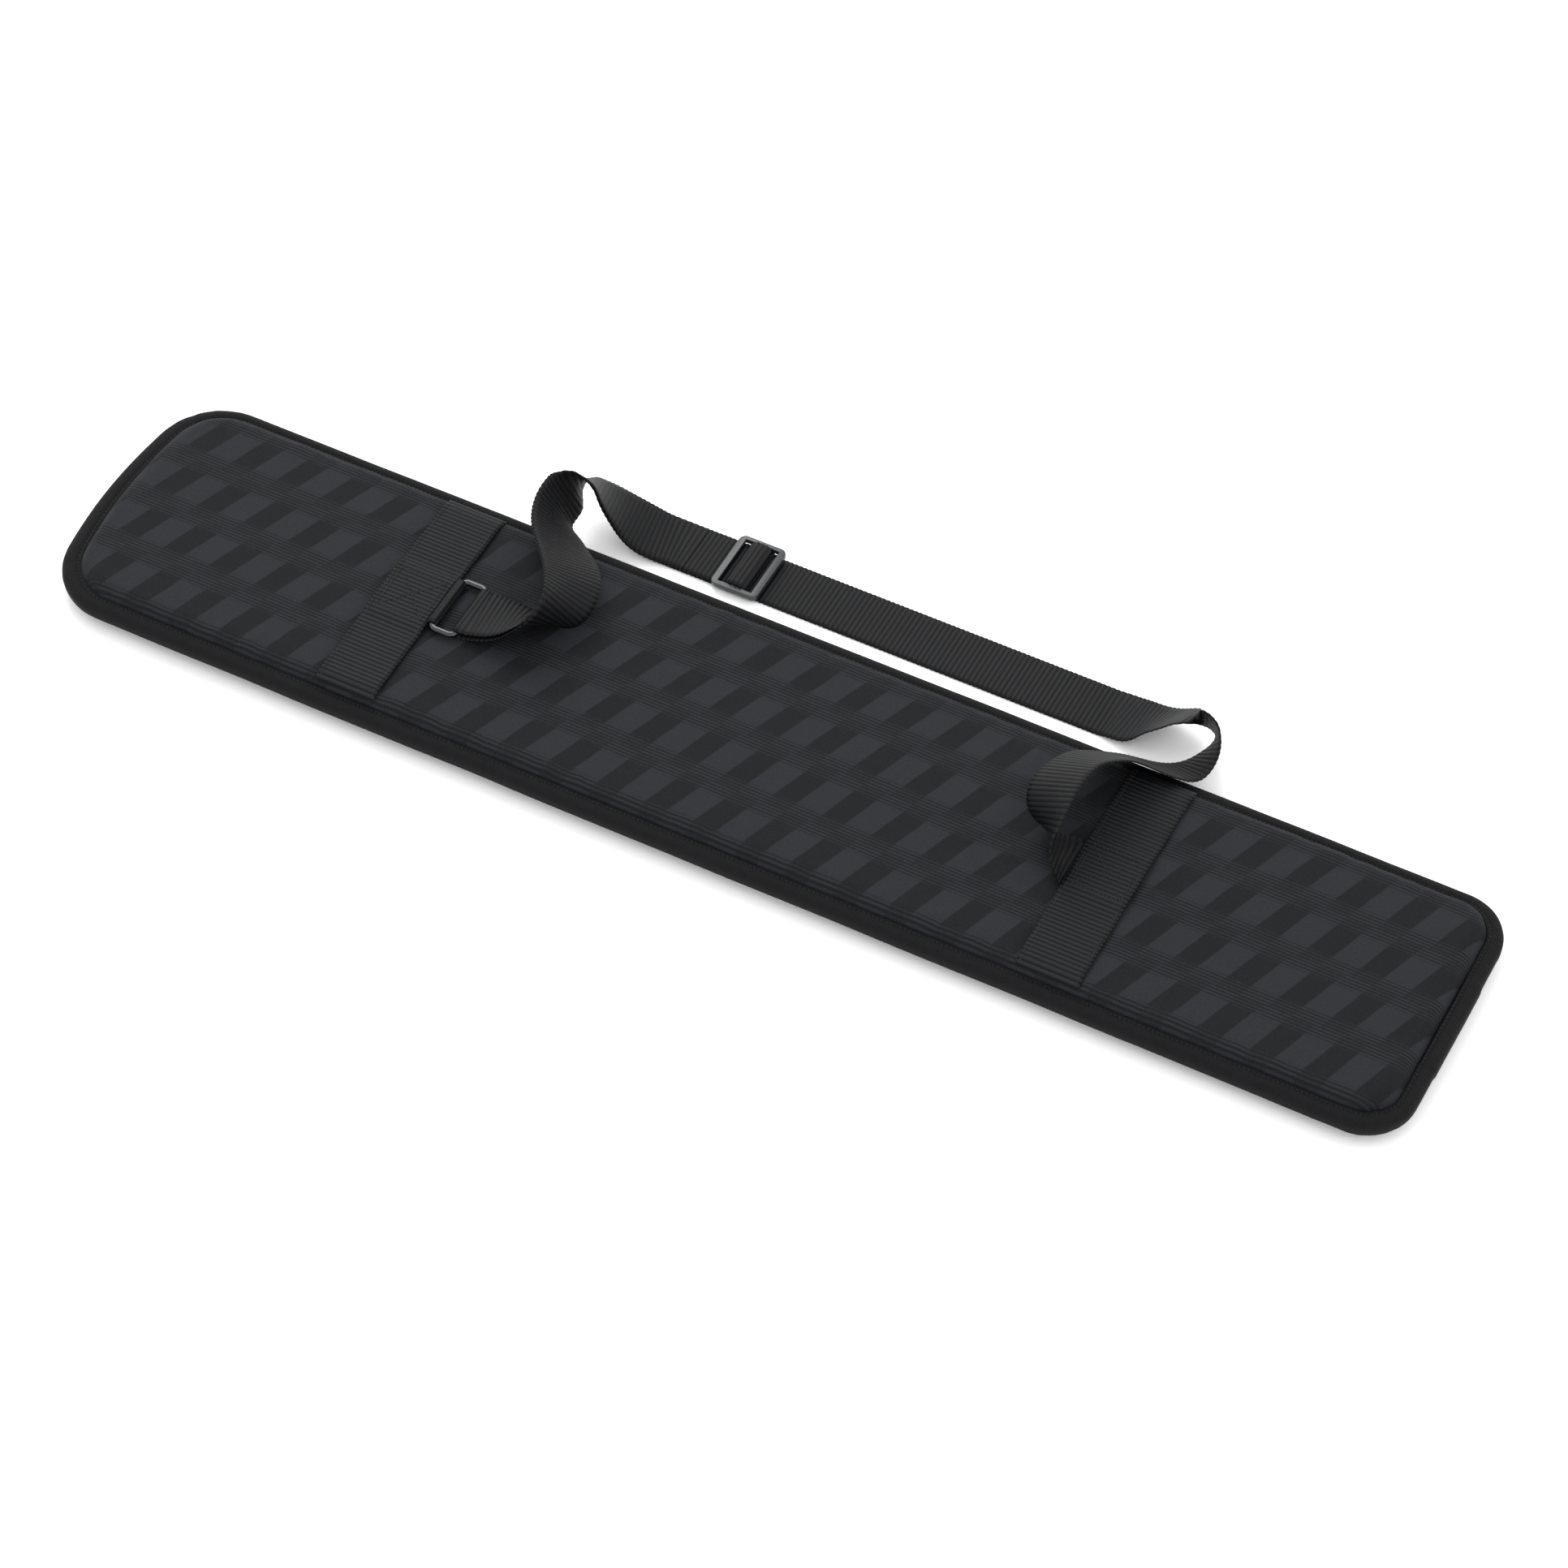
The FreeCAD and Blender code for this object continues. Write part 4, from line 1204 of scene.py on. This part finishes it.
# ---------------------------------------------------------------- ring, tab and shoulder strap
# The strap's stations: the doubled loop from the ring, the run on the ground, the loop to the sewn end.
LEFT_LOOP = [
    ((-198.2, 2, 31), (0, 1, 0)), ((-184, 3, 33.2), (-0.05, 0.99, -0.15)), ((-168, 5, 37.6), (0, 0.9, -0.44)),
    ((-154, 8, 43.4), (0.22, 0.65, -0.73)), ((-147, 17, 50), (0.51, 0.41, -0.75)),
    ((-149, 32, 53), (0.75, 0.35, -0.55)), ((-160, 51, 49), (0.8, 0.43, -0.43)),
    ((-177, 70, 40.5), (0.74, 0.43, -0.52)), ((-192, 89, 34), (0.61, 0.33, -0.72)),
    ((-199, 105, 32), (0.42, 0.26, -0.87)), ((-197.5, 116, 34), (0.36, 0.33, -0.87)),
    ((-194, 124, 37), (-0.11, 0.51, -0.85)), ((-188, 127, 37), (-0.34, 0.65, -0.68)),
    ((-180, 127, 32), (-0.32, 0.81, -0.49)), ((-169, 127, 22.5), (-0.22, 0.94, -0.26)),
    ((-156, 128.5, 12), (-0.1, 0.99, -0.03)), ((-144, 130.5, 6), (0, 1, 0)),
    ((-132, 132.8, 2.7), (0, 1, 0)), ((-123, 133.55, 1.7), (0, 1, 0)), ((-118, 133.6, 1.65), (0, 1, 0)),
]
GROUND_RUN = [((x, 133.6, 1.65), (0, 1, 0)) for x in (-105, -60, 0, 60, 120)]
RIGHT_LOOP = [
    ((145, 133.6, 0.85), (0, 1, 0)), ((158, 133.6, 0.85), (0, 1, 0)), ((165, 133.6, 0.85), (0, 1, 0)),
    ((169, 133.55, 1.2), (0, 1, 0)), ((174.5, 133, 2.6), (0.08, 1, -0.01)),
    ((183.8, 131.9, 5), (0.07, 1, -0.02)), ((192.4, 131.5, 8.8), (0.09, 0.98, -0.14)),
    ((199.8, 131.7, 13.7), (0.13, 0.94, -0.29)), ((206.9, 132.3, 18.5), (0.13, 0.92, -0.38)),
    ((213.6, 133.4, 23), (0.13, 0.86, -0.41)), ((220.2, 134, 26.6), (0.1, 0.54, -0.18)),
    ((226.6, 134.6, 28), (0.08, -0.15, 0.55)), ((232.6, 133.9, 27), (0.13, -0.42, 0.86)),
    ((237.1, 131.4, 25), (0.19, -0.45, 0.87)), ((238.8, 126.7, 22.1), (0.31, -0.44, 0.84)),
    ((238.5, 120.8, 19.1), (0.46, -0.43, 0.77)), ((236.9, 114.3, 16.6), (0.58, -0.42, 0.69)),
    ((230.2, 101.3, 15.6), (0.74, -0.45, 0.49)), ((219.6, 90.8, 23), (0.77, -0.46, 0.45)),
    ((207.9, 81.3, 33.6), (0.79, -0.4, 0.47)), ((197.5, 70.9, 43.9), (0.82, -0.28, 0.49)),
    ((189.3, 59.1, 52.3), (0.86, -0.22, 0.47)), ((183.6, 45.8, 57.8), (0.86, -0.14, 0.48)),
    ((180.8, 32.3, 59.9), (0.88, -0.09, 0.47)), ((180.2, 19.8, 58.9), (0.86, -0.09, 0.5)),
    ((182, 10, 54.1), (0.77, -0.21, 0.6)), ((185.8, 2.8, 46.5), (0.55, -0.5, 0.66)),
    ((191.5, -1.5, 38.5), (0.27, -0.82, 0.5)), ((199.2, -2.2, 31.6), (0.17, -0.96, 0.18)),
    ((204, -1.85, 28.8), (0.03, -1, 0.02)), ((207, -1.8, 28.3), (0, -1, 0)), ((212, -1.8, 28.3), (0, -1, 0)),
    ((225, -1.8, 28.3), (0, -1, 0)), ((240, -1.8, 28.3), (0, -1, 0)),
]


STRAP_HALF_WIDTH = 0.01875
# Distance from the middle of a ring's bar to the middle of the webbing that turns round it.
WRAP = 0.00275


@dataclass
class RingAndTab:
    """Enamelled wire ring and the webbing tab that holds it to the left band."""

    centre: Vector = field(default_factory=lambda: Vector((-0.2110, 0.002, 0.031)))
    half_length: float = 0.0082
    half_span: float = 0.0210
    corner: float = 0.0042
    wire: float = 0.0021

    def ring(self) -> None:
        """Build and dress the ring: wire bent round four corners."""
        path: list[Vector] = []
        for quadrant, (sx, sy) in enumerate(((1, -1), (1, 1), (-1, 1), (-1, -1))):
            middle = self.centre + Vector((sx * (self.half_length - self.corner),
                                           sy * (self.half_span - self.corner), 0))
            for index in range(9):
                angle = math.radians(-90 + 90 * quadrant + 90 * index / 8)
                path.append(middle + Vector((math.cos(angle), math.sin(angle), 0)) * self.corner)
        points: list[Vector] = []
        count, sides = len(path), 16
        for index, spot in enumerate(path):
            ahead = (path[(index + 1) % count] - path[index - 1]).normalized()
            side = Vector((ahead.y, -ahead.x, 0))
            for turn in range(sides):
                angle = 2 * math.pi * turn / sides
                rise = Vector((0, 0, self.wire * math.sin(angle)))
                points.append(spot + side * self.wire * math.cos(angle) + rise)
        piece = make_piece("wire_ring", points, ring_faces(count, sides))
        face_outward(piece)
        dress(piece, RING_ENAMEL, "ring_metal", "ring", "rectangular_ring")

    def tab(self) -> None:
        """Build and dress the tab: webbing that turns round the ring's left bar."""
        bar_x, bar_z = (self.centre.x - self.half_length) / MM, self.centre.z / MM
        radius, across = WRAP / MM, (0, 1, 0)
        turn = [((bar_x + radius * math.cos(a), 2, bar_z + radius * math.sin(a)), across)
                for a in (math.radians(d) for d in (-90, -45, 0, 45, 90, 130))]
        stations = [((x, 2, 28.25), across) for x in (-255, -245, -235, -225)] + turn
        stations.append(((-222.6, 2, 31.4), across))
        course, length = smooth_course(stations, STRAP_HALF_WIDTH)
        piece = Ribbon().lay("ring_tab_webbing", course, length)
        dress(piece, STRAP_WEBBING, "strap_webbing", "case", "ring_tab")

    def build(self) -> None:
        """Build the ring and its tab."""
        self.ring()
        self.tab()


@dataclass
class ShoulderStrap:
    """The shoulder strap: a doubled loop from the ring, a run on the ground, a loop to its sewn end."""

    half_width: float = STRAP_HALF_WIDTH
    close: float = 0.0008
    wide: float = WRAP
    eye_opening: float = 0.060
    lead: float = 0.0416
    bar: Vector = field(default_factory=lambda: Vector((-0.2028, 0.002, 0.031)))

    def layer(self, stations: Sequence[Station], side: int, start: float, stop: float,
              step: float = 0.005) -> list[tuple[Vector, Vector]]:
        """Sections of one of the two layers, moved off their middle.

        Args:
            stations: The stations of their middle.
            side: 1 for the inner layer and -1 for the outer one.
            start: Distance along it of the first section.
            stop: Distance along it of the last section, or less than 0 for the stations' end.
            step: Distance between sections.

        Returns:
            The middles and half-width vectors.
        """
        course, length = smooth_course(stations, self.half_width)
        stop = length if stop < 0 else stop
        count = max(2, round((stop - start) / step))
        found = []
        for index in range(count + 1):
            mark = start + (stop - start) * index / count
            middle, half = course(mark)
            ahead = course(min(length, mark + 0.0005))[0] - course(max(0.0, mark - 0.0005))[0]
            up = ahead.cross(half).normalized()
            gap = self.close + (self.wide - self.close) * max(0.0, 1 - mark / self.eye_opening) ** 2
            found.append((middle + up * side * gap, half))
        return found

    def as_stations(self, sections: Sequence[tuple[Vector, Vector]]) -> list[Station]:
        """Turn sections back into stations in millimetres.

        Args:
            sections: The middles and half-width vectors.

        Returns:
            The stations.
        """
        return [(tuple(middle / MM), tuple(half / self.half_width)) for middle, half in sections]

    def ring_lead(self) -> None:
        """Both layers next to the ring and the eye round its bar."""
        outer = self.layer(LEFT_LOOP, -1, 0.0, self.lead, 0.004)
        inner = self.layer(LEFT_LOOP, 1, 0.0, self.lead, 0.004)
        eye = [(self.bar + Vector((-math.sin(a), 0, -math.cos(a))) * WRAP, Vector((0, self.half_width, 0)))
               for a in (math.radians(d) for d in range(0, 181, 36))]
        course, length = smooth_course(self.as_stations(outer[::-1] + eye + inner), self.half_width)
        piece = Ribbon().lay("strap_ring_lead", course, length)
        dress(piece, STRAP_WEBBING, "strap_webbing", "", "strap_ring_eye")
        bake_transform(piece)

    def outer_run(self) -> None:
        """The outer layer, the run on the ground, the right loop and the sewn end, in one length."""
        outer = self.layer(LEFT_LOOP + GROUND_RUN, -1, self.lead, -1.0)
        stations = self.as_stations(outer[:-2]) + RIGHT_LOOP
        course, length = smooth_course(stations, self.half_width)
        piece = Ribbon().lay("strap_outer_run", course, length)
        dress(piece, STRAP_WEBBING, "strap_webbing", "case", "strap_outer_layer", "strap_ground_run",
              "strap_sewn_loop", "strap_sewn_end")

    def inner_run(self) -> None:
        """The inner layer as far as the ground."""
        inner = self.layer(LEFT_LOOP, 1, self.lead, -1.0)
        course, length = smooth_course(self.as_stations(inner), self.half_width)
        piece = Ribbon().lay("strap_inner_run", course, length)
        dress(piece, STRAP_WEBBING, "strap_webbing", "case", "strap_inner_layer")

    def slider_lead(self) -> None:
        """The inner layer on the ground, and its turn over the adjuster's middle bar."""
        over = ((-110, 2.45), (-98, 2.5), (-91, 2.55), (-88.9, 3.3), (-87.9, 5.4), (-85.6, 7.4), (-81, 8.0),
                (-76.4, 7.4), (-74.1, 5.4), (-73.1, 3.3), (-71.2, 2.55), (-69, 2.5))
        start = self.layer(LEFT_LOOP, 1, 0.0, -1.0)[-1]
        stations = self.as_stations([start]) + [((x, 133.6, z), (0, 1, 0)) for x, z in over]
        course, length = smooth_course(stations, self.half_width)
        piece = Ribbon().lay("strap_slider_lead", course, length)
        dress(piece, STRAP_WEBBING, "strap_webbing", "", "strap_bar_wrap")
        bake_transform(piece)

    def build(self) -> None:
        """Build every length of the strap."""
        self.ring_lead()
        self.outer_run()
        self.inner_run()
        self.slider_lead()


@dataclass
class Adjuster:
    """Moulded three-bar slide on the strap, slightly arched."""

    x: float = -0.081
    half_length: float = 0.016
    arch: float = 0.0012
    edge: float = 0.0011

    def build(self) -> None:
        """Build and dress the frame."""
        piece = softened_copy("three_bar_slide", "adjuster_frame", self.edge)
        for vertex in piece.data.vertices:
            share = (vertex.co.x - self.x) / self.half_length
            vertex.co.z += self.arch * (0.35 - share * share)
        dress(piece, ADJUSTER_PLASTIC, "adjuster_plastic", "adjuster", "adjuster_frame")


# ---------------------------------------------------------------- zip
@dataclass
class Zip:
    """Coil zip in the underside: tapes, teeth, stops, slider and pull."""

    y: float = 0.058
    reach: float = 0.404
    pitch: float = 0.0021
    low: float = 0.0047
    high: float = 0.0058
    tooth: float = 0.0005

    def teeth(self, name: str, sign: int, node: str) -> None:
        """Build one half of the coil as a row of interlocking turns.

        Args:
            name: The object's name.
            sign: -1 for the near half and 1 for the far one.
            node: The node that it stands for.
        """
        points: list[tuple[float, float, float]] = []
        faces: list[tuple[int, ...]] = []
        start = -self.reach + (self.pitch / 2 if sign > 0 else 0)
        ends = ((self.y - sign * 0.0006, 0.5), (self.y + sign * 0.0003, 1.0), (self.y + sign * 0.0014, 0.8),
                (self.y + sign * 0.0017, 0.4))
        middle, half = (self.low + self.high) / 2, (self.high - self.low) / 2
        for index in range(int(2 * self.reach / self.pitch) - 1):
            x = start + index * self.pitch
            first = len(points)
            for y, size in ends:
                for turn in range(6):
                    angle = turn * math.pi / 3
                    points.append((x + self.tooth * (1 + size * math.cos(angle)), y,
                                   middle + half * size * math.sin(angle)))
            add_bead(faces, first, len(ends))
        piece = make_piece(name, points, faces)
        face_outward(piece)
        dress(piece, ZIP_COIL, "zip_coil", "case", node)

    def build(self) -> None:
        """Build the teeth, soften the metal pieces and dress the tapes."""
        self.teeth("zip_teeth_main", -1, "zip_coil_main")
        self.teeth("zip_teeth_strip", 1, "zip_coil_strip")
        for name, node, edge, body in (("zip_stops", "zip_end_stops", 0.0003, "case"),
                                       ("zip_slider_body", "zip_slider", 0.0004, "slider"),
                                       ("zip_pull_tab", "zip_pull", 0.0003, "pull")):
            dress(softened_copy(name, node, edge), ZIP_METAL, "zip_metal", body, node)
        for node, finish in (("zip_tape_main", ZIP_TAPE), ("zip_tape_strip", ZIP_TAPE),
                             ("back_lining", LINING), ("front_lining", LINING)):
            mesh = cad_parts[node].data
            mesh.materials.clear()
            mesh.materials.append(finish.material())
            log.info("%s: dressed as %s", node, finish.name)


# ---------------------------------------------------------------- floor, light and camera
@dataclass(frozen=True)
class Studio:
    """A pale floor, soft white light and the camera."""

    target: tuple[float, float, float] = (0.020231, -0.013191, 0.009331)
    distance: float = 3.0752
    azimuth: float = 27.521
    elevation: float = 50.698
    lens: float = 118.15
    floor_size: float = 24
    floor_z: float = -0.0002
    glow: float = 1.5

    def floor(self) -> None:
        """Lay the floor, a flat square sheet just under the object."""
        deselect()
        bpy.ops.mesh.primitive_grid_add(x_subdivisions=8, y_subdivisions=8, size=self.floor_size,
                                        location=(0, 0, self.floor_z))
        sheet = bpy.context.object
        bpy.ops.object.transform_apply(location=True, rotation=True, scale=True)
        sheet.name = "studio_floor"
        sheet.data.materials.append(FLOOR_PAINT.material())

    def lamp(self, name: str, place: Sequence[float], size: float, power: float) -> None:
        """Hang one square soft lamp that faces the object.

        Args:
            name: The lamp's name.
            place: Where it hangs.
            size: The length of its side.
            power: Its power in watts.
        """
        data = bpy.data.lights.new(name, "AREA")
        data.size, data.energy = size, power
        lamp = bpy.data.objects.new(name, data)
        lamp.location = place
        lamp.rotation_euler = (-Vector(place)).to_track_quat("-Z", "Y").to_euler()
        bpy.context.collection.objects.link(lamp)

    def light(self) -> None:
        """Set the even surrounding light and hang the lamps."""
        world = bpy.data.worlds.new("white_studio")
        bpy.context.scene.world = world
        world.use_nodes = True
        sky = world.node_tree.nodes["Background"]
        sky.inputs["Color"].default_value = (1, 1, 1, 1)
        sky.inputs["Strength"].default_value = self.glow
        self.lamp("key_softbox", (-1.4, 1.6, 2.2), 1.6, 42)
        self.lamp("fill_softbox", (1.8, -1.2, 2.4), 2.0, 14)
        bpy.context.scene.view_settings.view_transform = "Standard"

    def camera(self) -> None:
        """Place the camera."""
        data = bpy.data.cameras.new("camera")
        data.lens, data.sensor_width = self.lens, 36
        data.clip_start, data.clip_end = 0.05, 60
        camera = bpy.data.objects.new("camera", data)
        a, e = math.radians(self.azimuth), math.radians(self.elevation)
        back = Vector((math.sin(a) * math.cos(e), -math.cos(a) * math.cos(e), math.sin(e)))
        camera.location = Vector(self.target) + back * self.distance
        camera.rotation_euler = (-back).to_track_quat("-Z", "Y").to_euler()
        bpy.context.collection.objects.link(camera)
        bpy.context.scene.camera = camera

    def build(self) -> None:
        """Set up the whole studio."""
        self.floor()
        self.light()
        self.camera()


def main() -> None:
    """Build the case piece by piece, then the studio."""
    logging.basicConfig(level=logging.INFO, format="%(name)s: %(message)s")
    deselect()
    panel = BackPanel()
    panel.build()
    FrontPanel().build()
    Binding().build()
    Band("left", BANDS["left"], (-0.2585, -0.2275, -0.017, 0.0165)).build(panel)
    Band("right", BANDS["right"], (0.2105, 0.2425, -0.017, 0.0150)).build(panel)
    RingAndTab().build()
    ShoulderStrap().build()
    Adjuster().build()
    Zip().build()
    Studio().build()
    deselect()
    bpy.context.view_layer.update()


if __name__ == "__main__":
    main()
